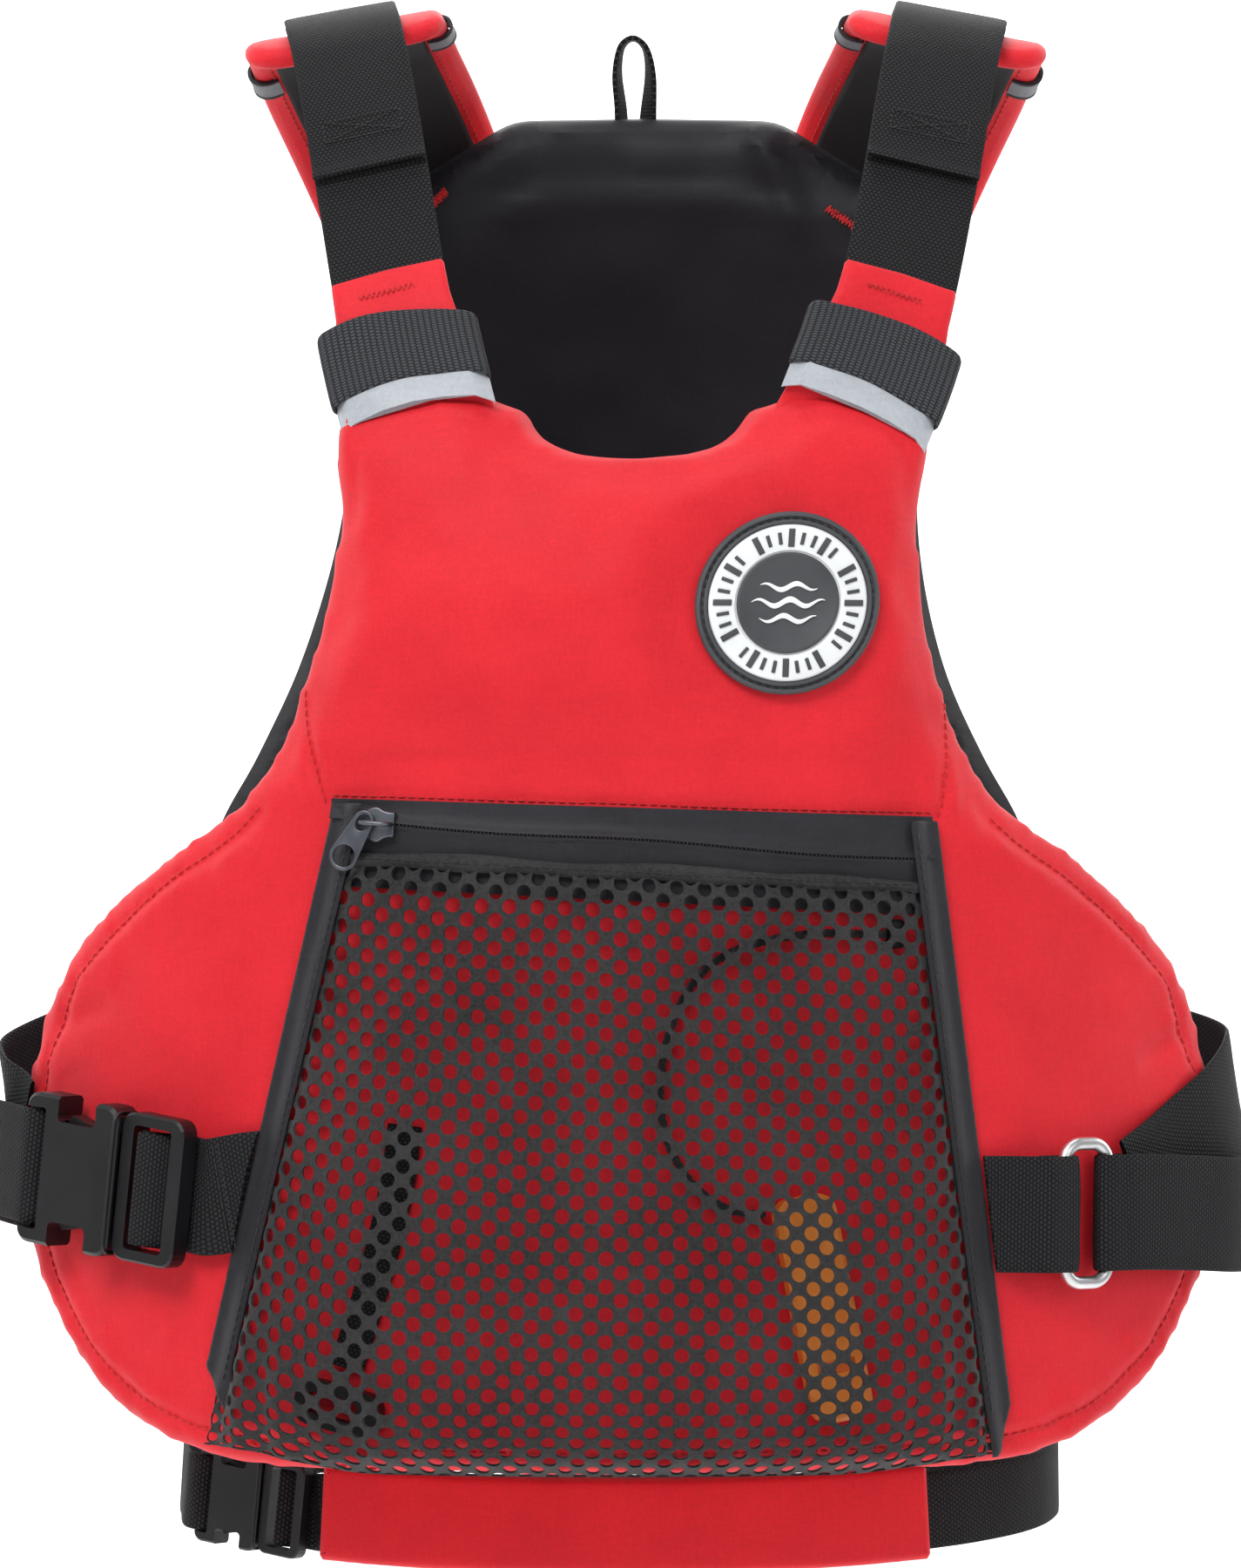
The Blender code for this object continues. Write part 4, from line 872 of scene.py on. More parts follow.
# Each fold: where it starts and ends on the panel (u, v), its width and its height.
FOLDS = [((-0.110, 0.296), (-0.070, 0.318), 0.006, -0.0011), ((-0.112, 0.310), (-0.080, 0.345), 0.007, 0.0010),
         ((0.104, 0.300), (0.070, 0.350), 0.008, -0.0012), ((0.098, 0.335), (0.050, 0.362), 0.006, 0.0009),
         ((-0.098, 0.247), (-0.150, 0.226), 0.006, -0.0012), ((-0.100, 0.262), (-0.140, 0.240), 0.005, 0.0009),
         ((-0.104, 0.232), (-0.150, 0.205), 0.006, 0.0009), ((0.112, 0.250), (0.150, 0.226), 0.006, -0.0011),
         ((0.108, 0.236), (0.150, 0.214), 0.006, 0.0008), ((-0.196, 0.170), (-0.168, 0.180), 0.004, -0.0016),
         ((-0.199, 0.158), (-0.176, 0.164), 0.003, 0.0012), ((-0.190, 0.186), (-0.166, 0.190), 0.004, 0.0011),
         ((0.196, 0.176), (0.172, 0.160), 0.004, -0.0020), ((0.199, 0.163), (0.180, 0.146), 0.004, 0.0018),
         ((0.189, 0.190), (0.160, 0.178), 0.005, 0.0014), ((0.202, 0.148), (0.186, 0.140), 0.004, -0.0016),
         ((-0.160, 0.040), (-0.140, 0.052), 0.004, -0.0010), ((-0.186, 0.060), (-0.168, 0.074), 0.004, 0.0010),
         ((0.150, 0.036), (0.138, 0.056), 0.004, -0.0011), ((0.184, 0.062), (0.164, 0.072), 0.004, 0.0009)]
add_folds(front_shell, [(front(a[0], 0.0, a[1]), front(b[0], 0.0, b[1]), width, height)
                        for a, b, width, height in FOLDS])
ripple(front_shell, 22.0, 0.0009, seed=4.0)
ripple(front_shell, 75.0, 0.00035, seed=9.0)
points = coords(front_shell.data)
u, depth, v = flat_coords(points, FRONT_AXIS, 1, 2.2, 0.290)
inside = edge_distance(np.stack([u, v], 1), FRONT_OUTLINE)
# The panel's shoulders run up under the tape: wider, higher and nearly flat to their edges.
yoke = np.clip((v - 0.336) / 0.026, 0, 1) * np.clip((np.abs(u) - 0.0425) / 0.009, 0, 1)
yoke = yoke * yoke * (3 - 2 * yoke)
wide = 0.0034 * np.clip((np.abs(u) - 0.070) / 0.020, 0, 1)
wide += 0.0030 * np.clip((0.062 - np.abs(u)) / 0.015, 0, 1)
wide *= np.sign(u) * yoke
high = 0.0062 * yoke * np.clip((np.abs(u) - 0.044) / 0.020, 0, 1)
level = -0.0016 - 0.0120 * np.clip(1 - (inside + 0.0010) / 0.0080, 0, 1) ** 2
raised = np.where(depth > -0.020, np.maximum(0.0, level - depth), 0.0) * yoke
points += out_of_front(u) * raised[:, None] + np.stack([wide, np.zeros_like(u), high], 1)
set_coords(front_shell.data, points)
rim = np.clip(1 - np.abs(inside) / 0.010, 0, 1) * (depth > -0.034) * (1.0 - yoke)
pucker = np.array([noise.noise(Vector((a * 60, b * 60, 1.3))) for a, b in zip(u, v)])
normals = vertex_normals(front_shell.data)
points += normals * (rim * pucker * 0.0007)[:, None]
u, depth, v = flat_coords(points, FRONT_AXIS, 1, 2.2, 0.290)
held = (v < 0.262) | (np.hypot(u - BADGE_AT[0], v - BADGE_AT[1]) < 0.032)
points -= out_of_front(u) * (np.maximum(0.0, depth + 0.0003) * held)[:, None]
set_coords(front_shell.data, points)
shade(front_shell, 60)
finish(front_shell, "red_cloth", "front_cover", "front_foam")
front_skin = Skin(front_shell)

# Back panel.
back_shell = puffed(remeshed("back_panel_shell", "back_foam", 0.0044), 5.0, 0.0040)
back_shell.data.materials.append(RED)
filled_out(back_shell, BACK_OUTLINE, BACK_AXIS, -1, 1.0, 0.330)
subdivided(back_shell)
BACK_GUSSET = inset(BACK_OUTLINE, 0.0100)
back_seam = [back(x, 0.0, y) for x, y in BACK_GUSSET]
BACK_SEAMS = [[(-0.100, 0.432), (-0.050, 0.420), (0.0, 0.416), (0.050, 0.420), (0.100, 0.432)],
              [(-0.150, 0.168), (-0.080, 0.160), (0.0, 0.157), (0.080, 0.160), (0.150, 0.168)],
              [(-0.148, 0.102), (-0.080, 0.094), (0.0, 0.091), (0.080, 0.094), (0.148, 0.102)]]
press_seams(back_shell, [(back_seam + [back_seam[0]], 0.0016, 0.0020)]
            + [([back(x, -0.0005, y) for x, y in s], 0.0014, 0.0018) for s in BACK_SEAMS])
ripple(back_shell, 18.0, 0.0012, seed=21.0)
ripple(back_shell, 70.0, 0.0004, seed=25.0)
shade(back_shell, 60)
finish(back_shell, "red_cloth", "back_cover", "back_foam")
back_skin = Skin(back_shell)


# ---------------------------------------------------------------- linings
def flat_grid(outline, step, rim):
    """Points and faces of a flat net over a closed outline: rings near its edge, squares inside."""
    outline = np.asarray(outline, float)
    net = bmesh.new()
    net.faces.new([net.verts.new((x, 0.0, y)) for x, y in outline])
    net.normal_update()
    for width in rim:
        bmesh.ops.inset_region(net, faces=[max(net.faces, key=lambda f: len(f.verts))], thickness=width,
                               use_even_offset=True, use_boundary=True)
    for axis, values in ((Vector((1, 0, 0)), outline[:, 0]), (Vector((0, 0, 1)), outline[:, 1])):
        for i in range(math.ceil(values.min() / step), math.floor(values.max() / step) + 1):
            bmesh.ops.bisect_plane(net, geom=net.verts[:] + net.edges[:] + net.faces[:], dist=1e-5,
                                   plane_co=axis * (i * step), plane_no=axis)
    bmesh.ops.dissolve_degenerate(net, dist=2e-5, edges=net.edges[:])
    net.verts.index_update()
    flat = np.array([(v.co.x, v.co.z) for v in net.verts])
    faces = [tuple(v.index for v in f.verts) for f in net.faces]
    rims = np.array([v.is_boundary for v in net.verts])
    net.free()
    inside = np.where(rims, 0.0, np.maximum(0.0, edge_distance(flat, outline)))
    return flat, faces, rims, inside


def outward(obj):
    """Turns a closed piece's faces outwards."""
    shape = bmesh.new()
    shape.from_mesh(obj.data)
    bmesh.ops.recalc_face_normals(shape, faces=shape.faces[:])
    shape.to_mesh(obj.data)
    shape.free()
    return obj


def grid_sheet(name, outline, place, depth_of, thickness, material, step=0.0045, rim=(0.0012, 0.0020),
               angle=50.0, uvs=False):
    """A cloth sheet over a closed outline, thickened."""
    flat, faces, _, inside = flat_grid(outline, step, rim)
    verts = [place(x, depth_of(x, y, e), y) for (x, y), e in zip(flat, inside)]
    made = mesh_object(name, verts, faces, material, flat if uvs else None, angle)
    outward(made)
    wall = made.modifiers.new("cloth", "SOLIDIFY")
    wall.thickness = thickness
    wall.offset = 0.0
    baked(made)
    shade(made, angle)
    return made


def two_sided(name, grid, place, upper, lower, material, angle):
    """A closed piece between two depths over a flat grid; both are functions of x, y and the edge distance."""
    flat, faces, rims, inside = grid
    verts = [place(x, upper(x, y, e), y) for (x, y), e in zip(flat, inside)]
    under = {}
    for i, ((x, y), e) in enumerate(zip(flat, inside)):
        under[i] = i if rims[i] else len(verts)
        if not rims[i]:
            verts.append(place(x, lower(x, y, e), y))
    faces = faces + [tuple(under[i] for i in reversed(f)) for f in faces]
    made = outward(mesh_object(name, verts, faces, material, angle=angle))
    shade(made, angle)
    return made


def round_edge(e, edge):
    """How full a rounded edge is at a distance from it: 0 at the edge, 1 past the rounding."""
    return math.sqrt(1 - (1 - min(1.0, e / edge)) ** 2)


def cushion(name, outline, place, low, high, material, edge=0.004, step=0.004, wave=0.0, angle=70.0):
    """A padded closed piece over an outline, with rounded edges and slightly wavy faces."""
    middle, half = (low + high) / 2, (high - low) / 2

    def swell(x, y, e, salt):
        ripples = wave * noise.noise(Vector((x * 60, y * 60, salt + half * 900))) * smooth(0.0, edge, e)
        return half * round_edge(e, edge) + ripples

    return two_sided(name, flat_grid(outline, step, (edge * 0.12, edge * 0.28, edge * 0.45)), place,
                     lambda x, y, e: middle + swell(x, y, e, 0.0), lambda x, y, e: middle - swell(x, y, e, 5.0),
                     material, angle)


def inner_face(skin, place, u, v, deepest=-0.060):
    """The depth of a shell's inner face, seen from the wearer's side, or None where it has none."""
    start = place(u, deepest, v)
    found = skin.tree.ray_cast(start, (place(u, 0.0, v) - start).normalized(), -deepest)
    return None if found[0] is None else deepest + found[3]


def lining_depth(skin, place, x, y, inside, rim_depth, face_depth, roll):
    """A lining rolls from the panel's rim to its face, and lies over the shell where that stands higher."""
    depth = rim_depth + (face_depth - rim_depth) * round_edge(inside, roll)
    reach = face_depth - 0.0010 - 0.0050 * smooth(0.004, 0.016, inside)
    near = (-0.003, 0.0, 0.003)
    around = [inner_face(skin, place, x + a, y + b) for a in near for b in near]
    around = [max(found - 0.0012, reach) for found in around if found is not None]
    return min(depth, sum(around) / len(around)) if around else depth


def back_lining_depth(x, y, e):
    wrinkle = 0.0014 * noise.noise(Vector((x * 14, y * 30, 2.0))) * smooth(0.36, 0.46, y)
    wrinkle += 0.0009 * noise.noise(Vector((x * 45, y * 45, 5.0)))
    pull = 0.0030 * math.exp(-((x - 0.052 - 0.5 * (0.462 - y)) / 0.005) ** 2) * smooth(0.435, 0.450, y)
    hem = 0.0016 * math.exp(-((y - 0.4535 + 1.2 * x * x) / 0.0035) ** 2) * smooth(0.090, 0.070, abs(x))
    depth = lining_depth(back_skin, back, x, y, e, -0.0150, -0.0315, 0.020)
    return depth - hem + (wrinkle - pull) * min(1.0, e / 0.008)


back_lining = grid_sheet("back_lining_cloth", inset(BACK_OUTLINE, -0.0048), back, back_lining_depth, 0.0008,
                         BLACK_CLOTH, rim=(0.0010, 0.0016, 0.0024, 0.0040))


def front_lining_depth(x, y, e):
    wrinkle = 0.0009 * noise.noise(Vector((x * 40, y * 40, 8.0)))
    return lining_depth(front_skin, front, x, y, e, -0.0280, -0.0385, 0.016) + wrinkle * min(1.0, e / 0.008)


front_lining = grid_sheet("front_lining_cloth", inset(FRONT_OUTLINE, 0.0050), front, front_lining_depth, 0.0008,
                          BLACK_CLOTH, step=0.0030, rim=())
for made, node in ((back_lining, "back_lining"), (front_lining, "front_lining")):
    finish(made, "black_cloth", node)


def joined(name, pieces):
    """One mesh from several."""
    target = pieces[0]
    verts, faces = [], []
    for piece in pieces:
        base = len(verts)
        verts += [piece.matrix_world @ v.co for v in piece.data.vertices]
        faces += [tuple(base + i for i in f.vertices) for f in piece.data.polygons]
    material = target.data.materials[0]
    for piece in pieces:
        bpy.data.objects.remove(piece)
    return mesh_object(name, verts, faces, material, angle=40.0)


# ---------------------------------------------------------------- pocket mesh with its real holes
POCKET_BOTTOM = 0.0293
PITCH = 0.0088
ROW = 0.00445


def pocket_left(v):
    return -0.0865 - 0.0395 * (0.2305 - v) / 0.1717


def pocket_right(v):
    return 0.0955 + 0.0230 * (0.2208 - v) / 0.1813


def mesh_top(u):
    return 0.2256 - 0.050 * u


def hem_drop(v):
    return 0.006 * max(0.0, 0.0345 - v) / 0.012


def mesh_bottom(u):
    return POCKET_BOTTOM + 0.0080 * smooth(0.080, 0.124, -u) + 0.0055 * smooth(0.070, 0.120, u)


def mesh_depth(u, v):
    """As in the CAD: flat at the sewn edges, standing off between them; then gathers, pulls and creases."""
    left, right = pocket_left(v), pocket_right(v)
    to_side = min(u - left, right - u)
    fallen = min(1.0, max(0.0, (mesh_top(u) - v) / (mesh_top(u) - POCKET_BOTTOM)))
    middle = (u - (left + right) / 2) / ((right - left) / 2)
    rise = 0.0035 * smooth(0.0, 0.005, to_side) * smooth(0.0, 0.05, fallen) * smooth(0.0, 0.03, 1.0 - fallen)
    rise += 0.0242 * fallen ** 1.2 * (1.0 - fallen ** 14) * max(0.0, 1.0 - middle ** 6)
    free = smooth(0.0, 0.012, to_side) * smooth(0.0, 0.10, fallen) * smooth(0.0, 0.04, 1.0 - fallen)
    drift = 2.2 * noise.noise(Vector((u * 30, 0, 1)))
    gather = smooth(0.70, 0.93, fallen) * math.sin(u * 2 * math.pi / 0.0155 + drift)
    crease = 0.0020 * noise.noise(Vector((u * 24 - v * 14, v * 10 + u * 8, 3.1)))
    crease += 0.0011 * noise.noise(Vector((u * 60, v * 48, 7.7)))
    pull = 0.0022 * math.exp(-((u + 0.052 + 0.42 * (v - 0.200)) / 0.005) ** 2) * smooth(0.125, 0.15, v)
    return 0.0023 + rise + free * (0.0016 * gather + crease + pull) - hem_drop(v)


def pocket_net():
    """The knitted net: one eight-sided hole to each diamond of a staggered grid."""
    spacing, heights = 0.0, [0.0]
    while spacing < 0.197:
        spacing += ROW * (1.0 - 0.42 * smooth(0.155, 0.197, spacing))
        heights.append(spacing)
    total = 0.1963

    def spot(x, row):
        k = min(max(int(math.floor(row)), 0), len(heights) - 2)
        fallen = (heights[k] + (heights[k + 1] - heights[k]) * (row - k) + 0.0052) / total
        u = x + 0.0011 * noise.noise(Vector((x * 16, fallen * 4, 5.0)))
        v = mesh_top(u) - fallen * (mesh_top(u) - mesh_bottom(u))
        v += 0.0009 * noise.noise(Vector((x * 20, fallen * 5, 9.0)))
        left, right = pocket_left(v) - 0.0034, pocket_right(v) + 0.0034
        return min(max(u, left), right), max(v, mesh_bottom(u) - 0.0004)

    verts, faces, known = [], [], {}

    def corner(a, b):
        if (a, b) not in known:
            known[(a, b)] = len(verts)
            u, v = spot(a * PITCH / 4, b / 2)
            verts.append(front(u, mesh_depth(u, v), v))
        return known[(a, b)]

    ring = [(2, 0), (1, 1), (0, 2), (-1, 1), (-2, 0), (-1, -1), (0, -2), (1, -1)]
    for j in range(0, len(heights) - 1):
        for i in range(-32, 32):
            if (i + j) % 2:
                continue
            x = i * PITCH / 2
            u, v = spot(x, j)
            if not pocket_left(v) - 0.0048 < x < pocket_right(v) + 0.0048:
                continue
            outer = [corner(2 * i + a, 2 * j + b) for a, b in ring]
            size = 0.560 + 0.03 * noise.noise(Vector((x * 90, j * 1.7, 0.5)))
            if j == len(heights) - 2:
                size = 0.30
            hole = []
            for a, b in ring:
                reach = size if a * b == 0 else size * 1.42
                hu, hv = spot(x + a * PITCH / 4 * reach, j + b / 2 * reach * 1.06)
                hole.append(len(verts))
                verts.append(front(hu, mesh_depth(hu, hv), hv))
            for k in range(8):
                m = (k + 1) % 8
                faces.append((outer[k], outer[m], hole[m], hole[k]))
    made = outward(mesh_object("pocket_net", verts, faces, KNIT, angle=80.0))
    subdivided(made)
    wall = made.modifiers.new("knit", "SOLIDIFY")
    wall.thickness = 0.0008
    wall.offset = 0.0
    baked(made)
    shade(made, 70)
    return made


def band_outline(left, right, top, bottom):
    """A band's outline from its ends and two heights, each a function of u."""
    xs = [left + (right - left) * i / 40 for i in range(41)]
    return np.array([(x, bottom(x)) for x in xs] + [(x, top(x)) for x in reversed(xs)])


def net_hem_depth(u, v, e):
    puff = 0.0014 * smooth(0.0, 0.002, e) + 0.0007 * noise.noise(Vector((u * 120, v * 160, 2.0)))
    return 0.0031 + puff


def hem_top(u):
    return mesh_top(u) + 0.0012 + 0.0007 * math.sin(u * 95) - 0.0018 * smooth(0.060, 0.088, u)


def hem_low(u):
    return mesh_top(u) - 0.0036 + 0.0004 * math.sin(u * 160)


net_hem = grid_sheet("pocket_net_hem", band_outline(-0.0872, 0.0960, hem_top, hem_low), front, net_hem_depth,
                     0.0009, KNIT, step=0.002, rim=(0.0006, 0.0008))
hem_skin = Skin(net_hem)
net = joined("pocket_net_and_hem", [pocket_net(), net_hem])
finish(net, "black_mesh", "pocket_mesh")


# ---------------------------------------------------------------- zip
COIL_HEIGHT = 0.2345
COIL_SLOPE = 0.068
TOOTH_PITCH = 0.00125


def coil_height(u):
    return COIL_HEIGHT - COIL_SLOPE * u + 0.0006 * math.sin(u * 60 + 1.0)


def zip_depth(u, v, e):
    ridge = 0.0020 * math.exp(-((v - coil_height(u)) / 0.0021) ** 2)
    ripples = 0.0004 * noise.noise(Vector((u * 55, v * 120, 4.0)))
    return 0.0011 + ridge + ripples * smooth(0.0, 0.003, e)


tape_top = grid_sheet("zip_tape_high", band_outline(-0.0935, 0.1010, lambda u: 0.2452 - 0.031 * u,
                                                    lambda u: coil_height(u) + 0.0003),
                      front, zip_depth, 0.0009, SATIN, step=0.003, rim=(0.0005, 0.0009))
tape_low = grid_sheet("zip_tape_low", band_outline(-0.0890, 0.0975, lambda u: coil_height(u) - 0.0003,
                                                   lambda u: 0.2150 - 0.050 * u),
                      front, zip_depth, 0.0009, SATIN, step=0.003, rim=(0.0005, 0.0009))
finish(tape_top, "black_cloth", "zip_tape_upper")
finish(tape_low, "black_cloth", "zip_tape_lower")


def bead_row(name, line, length, radius, material):
    """Small round-ended beads along a run of (point, tangent, normal)."""
    verts, faces = [], []
    rings = ((-1.0, 0.25), (-0.75, 0.8), (0.0, 1.0), (0.75, 0.8), (1.0, 0.25))
    for point, tangent, normal in line:
        base = len(verts)
        side = tangent.cross(normal).normalized()
        for along, thick in rings:
            for s in range(6):
                turn = 2 * math.pi * s / 6
                spread = side * math.cos(turn) + normal * math.sin(turn)
                verts.append(point + tangent * along * length / 2 + spread * radius * thick)
        faces += [tuple(base + f for f in face) for face in tube_faces(len(rings), 6)]
    return mesh_object(name, verts, faces, material, angle=80.0)


teeth = []
for i in range(int(0.180 / TOOTH_PITCH)):
    u = -0.0835 + i * TOOTH_PITCH
    here = front(u, 0.0030, coil_height(u))
    ahead = front(u + 0.001, 0.0030, coil_height(u + 0.001))
    teeth.append((here, (ahead - here).normalized(), Vector((math.sin(u / R), -math.cos(u / R), 0.0))))
finish(bead_row("zip_teeth", teeth, 0.00085, 0.00042, PLASTIC), "black_plastic", "zip_coil")

# The slider's frame has +Y out of the panel; the puller hangs tilted from the slider's bridge.
coil_tilt = math.atan(COIL_SLOPE)
slider_turn = math.asin(-0.0765 * math.cos(coil_tilt) / R)
slider_frame = (Matrix.Translation(at(0.0, FRONT_AXIS, COIL_HEIGHT)) @ Matrix.Rotation(coil_tilt, 4, "Y")
                @ Matrix.Rotation(slider_turn, 4, "Z") @ Matrix.Translation((0.0, -R, 0.0))
                @ Matrix.Rotation(math.pi, 4, "Z"))
puller_frame = slider_frame @ Matrix.Translation((0.0024, 0.0072, 0.0))
puller_frame = laid_out(puller_frame @ Matrix.Rotation(math.radians(60.0), 4, "Y"))
slider_frame = laid_out(slider_frame)


def plate(name, outline, holes, low, high, bevel, matrix, material):
    """A flat bevelled part cut from a filled curve: its outline in x and z, its thickness along y."""
    curve = bpy.data.curves.new(name, "CURVE")
    curve.dimensions = "2D"
    curve.fill_mode = "BOTH"
    for points in [outline] + holes:
        one = curve.splines.new("POLY")
        one.points.add(len(points) - 1)
        for point, (x, z) in zip(one.points, points):
            point.co = (x, z, 0.0, 1.0)
        one.use_cyclic_u = True
    curve.extrude = (high - low) / 2 - bevel
    curve.bevel_depth = bevel
    curve.bevel_resolution = 3
    curve.offset = -bevel
    holder = bpy.data.objects.new(name, curve)
    scene.collection.objects.link(holder)
    graph = bpy.context.evaluated_depsgraph_get()
    graph.update()
    mesh = bpy.data.meshes.new_from_object(holder.evaluated_get(graph))
    bpy.data.objects.remove(holder)
    # The curve lies in x and y; its y becomes z, and its thickness runs along -y about the middle.
    turn = Matrix(((1, 0, 0, 0), (0, 0, -1, (low + high) / 2), (0, 1, 0, 0), (0, 0, 0, 1)))
    mesh.transform(matrix @ turn)
    mesh.materials.clear()
    made = link(bpy.data.objects.new(name, mesh), material)
    merged = bmesh.new()
    merged.from_mesh(mesh)
    bmesh.ops.remove_doubles(merged, verts=merged.verts[:], dist=1e-6)
    bmesh.ops.recalc_face_normals(merged, faces=merged.faces[:])
    merged.to_mesh(mesh)
    merged.free()
    shade(made, 35)
    return made


def tube(name, points, radius, material, sides=12, closed=False, flat=1.0, up=(0, 0, 1)):
    """A round or flattened tube along points."""
    verts = []
    count = len(points)
    for i, p in enumerate(points):
        after = points[(i + 1) % count] if closed or i + 1 < count else p
        before = points[i - 1] if closed or i > 0 else p
        tangent = (after - before).normalized()
        side = tangent.cross(Vector(up)).normalized()
        rise = side.cross(tangent).normalized()
        for s in range(sides):
            turn = 2 * math.pi * s / sides
            verts.append(p + side * math.cos(turn) * radius + rise * math.sin(turn) * radius * flat)
    made = mesh_object(name, verts, tube_faces(count, sides, closed_path=closed), material, angle=60.0)
    return outward(made)


def arc(centre, radius, start, end, steps):
    turns = [math.radians(start + (end - start) * i / steps) for i in range(steps + 1)]
    return [(centre[0] + radius * math.cos(turn), centre[1] + radius * math.sin(turn)) for turn in turns]


body_outline = (arc((0.0048, 0.0), 0.0040, -60, 60, 8)
                + spline2([(0.0052, 0.0042), (0.0032, 0.0052), (0.0012, 0.0052), (-0.0004, 0.0044),
                           (-0.0022, 0.0040), (-0.0044, 0.0040)], 4)
                + spline2([(-0.0044, -0.0040), (-0.0024, -0.0042), (-0.0008, -0.0048), (0.0010, -0.0060),
                           (0.0030, -0.0056), (0.0052, -0.0042)], 4))
slider_plate = plate("zip_slider_plate", body_outline, [], 0.0026, 0.0052, 0.0006, slider_frame, GUNMETAL)
bridge = [slider_frame @ Vector((x, y, 0)) for x, y in
          spline2([(-0.0032, 0.0040), (-0.0034, 0.0068), (-0.0026, 0.0088), (-0.0008, 0.0096), (0.0038, 0.0096),
                   (0.0054, 0.0088), (0.0062, 0.0070), (0.0062, 0.0040)], 5)]
slider_bridge = tube("zip_slider_bridge", bridge, 0.0010, GUNMETAL, flat=0.85,
                     up=slider_frame.to_3x3() @ Vector((0, 0, 1)))
slider = joined("zip_slider_body", [slider_plate, slider_bridge])
finish(slider, "zip_metal", "zip_slider", body="zip_slider")

RING_AT = (0.0140, 0.0020)
puller_edge = (arc((0.0008, 0.0027), 0.0034, 100, 262, 10) + arc(RING_AT, 0.0049, -82, 82, 20))
eye_edge = [(x * 0.0029 + 0.0015, z * 0.0021 + 0.0027) for x, z in arc((0.0, 0.0), 1.0, 0, 340, 17)]
hole_edge = arc(RING_AT, 0.0037, 0, 345, 23)
puller = plate("zip_puller_body", puller_edge, [list(reversed(eye_edge)), list(reversed(hole_edge))], -0.0007,
               0.0007, 0.00035, puller_frame, GUNMETAL)
finish(puller, "zip_metal", "zip_puller", body="zip_puller")


# ---------------------------------------------------------------- pocket bindings
def binding(side, edge_of, way, heights, foot):
    inner = [(edge_of(v), v) for v in heights]
    outer = [(edge_of(v) + way * 0.0094, v) for v in reversed(heights)]
    outline = inner + foot + outer
    if way > 0:
        outline = list(reversed(outline))

    def depth(u, v, e):
        across = (u - edge_of(v)) * way / 0.0094
        climb = 0.0030 * (1.0 - smooth(0.10, 0.75, across))
        crease = 0.0006 * noise.noise(Vector((u * 60, v * 40, 6.0)))
        return 0.0014 + climb + crease * smooth(0.0, 0.002, e) - 0.0004 * (e < 1e-6) - hem_drop(v)

    made = grid_sheet("pocket_binding_" + side + "_tape", even_outline(outline, 0.0022), front, depth, 0.0011,
                      SATIN, step=0.0022, rim=(0.0005, 0.0009))
    finish(made, "black_cloth", "pocket_binding_" + side)
    return Skin(made)


left_skin = binding("left", pocket_left, -1.0, (0.2462, 0.225, 0.200, 0.150, 0.100, 0.062),
                    [(-0.1244, 0.0500), (-0.1262, 0.0470)])
right_skin = binding("right", pocket_right, 1.0, (0.2404, 0.225, 0.200, 0.150, 0.100, 0.050),
                     [(0.1198, 0.0330), (0.1222, 0.0338)])
left_row = [(pocket_left(v) - 0.0013, v) for v in (0.2430, 0.200, 0.150, 0.100, 0.058)]
right_row = [(pocket_right(v) + 0.0013, v) for v in (0.2370, 0.200, 0.150, 0.100, 0.045)]
hem_row = [(u, mesh_top(u) - 0.0010) for u in (-0.085, -0.04, 0.0, 0.05, 0.094)]
black_runs = [skin.run(front, row, 0.0001)
              for skin, row in ((left_skin, left_row), (right_skin, right_row), (hem_skin, hem_row))]
finish(thread_mesh("pocket_stitches", black_runs, BLACK_THREAD, radius=0.00026, stitch=0.0022, gap=0.0011),
       "black_cloth")

red_runs = [front_skin.run(front, seam, 0.0001) for seam in [TOP_STITCH] + CHEST_SEAMS]
red_runs.append(front_skin.run(front, wing_seam[::3], 0.0001, per_span=3))
red_runs.append(front_skin.run(front, POCKET_CORNER, 0.0001))
red_runs.append([found for found in (back_skin.hit(back, x, y, 0.0001) for x, y in BACK_GUSSET) if found])
red_runs += [back_skin.run(back, seam, 0.0001) for seam in BACK_SEAMS]
finish(thread_mesh("panel_stitches", red_runs, RED_THREAD, radius=0.00030), "red_cloth")


# ---------------------------------------------------------------- shoulders
SHOULDER_LINE = [(0.0715, -0.0985, 0.3730), (0.0785, -0.0865, 0.3950), (0.0845, -0.0740, 0.4200),
                 (0.0910, -0.0560, 0.4550), (0.0965, -0.0360, 0.4850), (0.1005, -0.0150, 0.5030),
                 (0.1030, 0.0080, 0.5110), (0.1020, 0.0300, 0.5085), (0.0980, 0.0560, 0.4985),
                 (0.0920, 0.0800, 0.4850), (0.0855, 0.0985, 0.4690), (0.0795, 0.1110, 0.4525),
                 (0.0750, 0.1185, 0.4370)]
SHOULDER_TURN = math.radians(18.0)
SHOULDER_SLOPE = 0.32
PAD_BAND_FROM = 0.047
PAD_BAND_WIDTH = 0.010
TAB_TOP = 0.0550
WIDE_WEBBING = 0.0381
NARROW_WEBBING = 0.0254


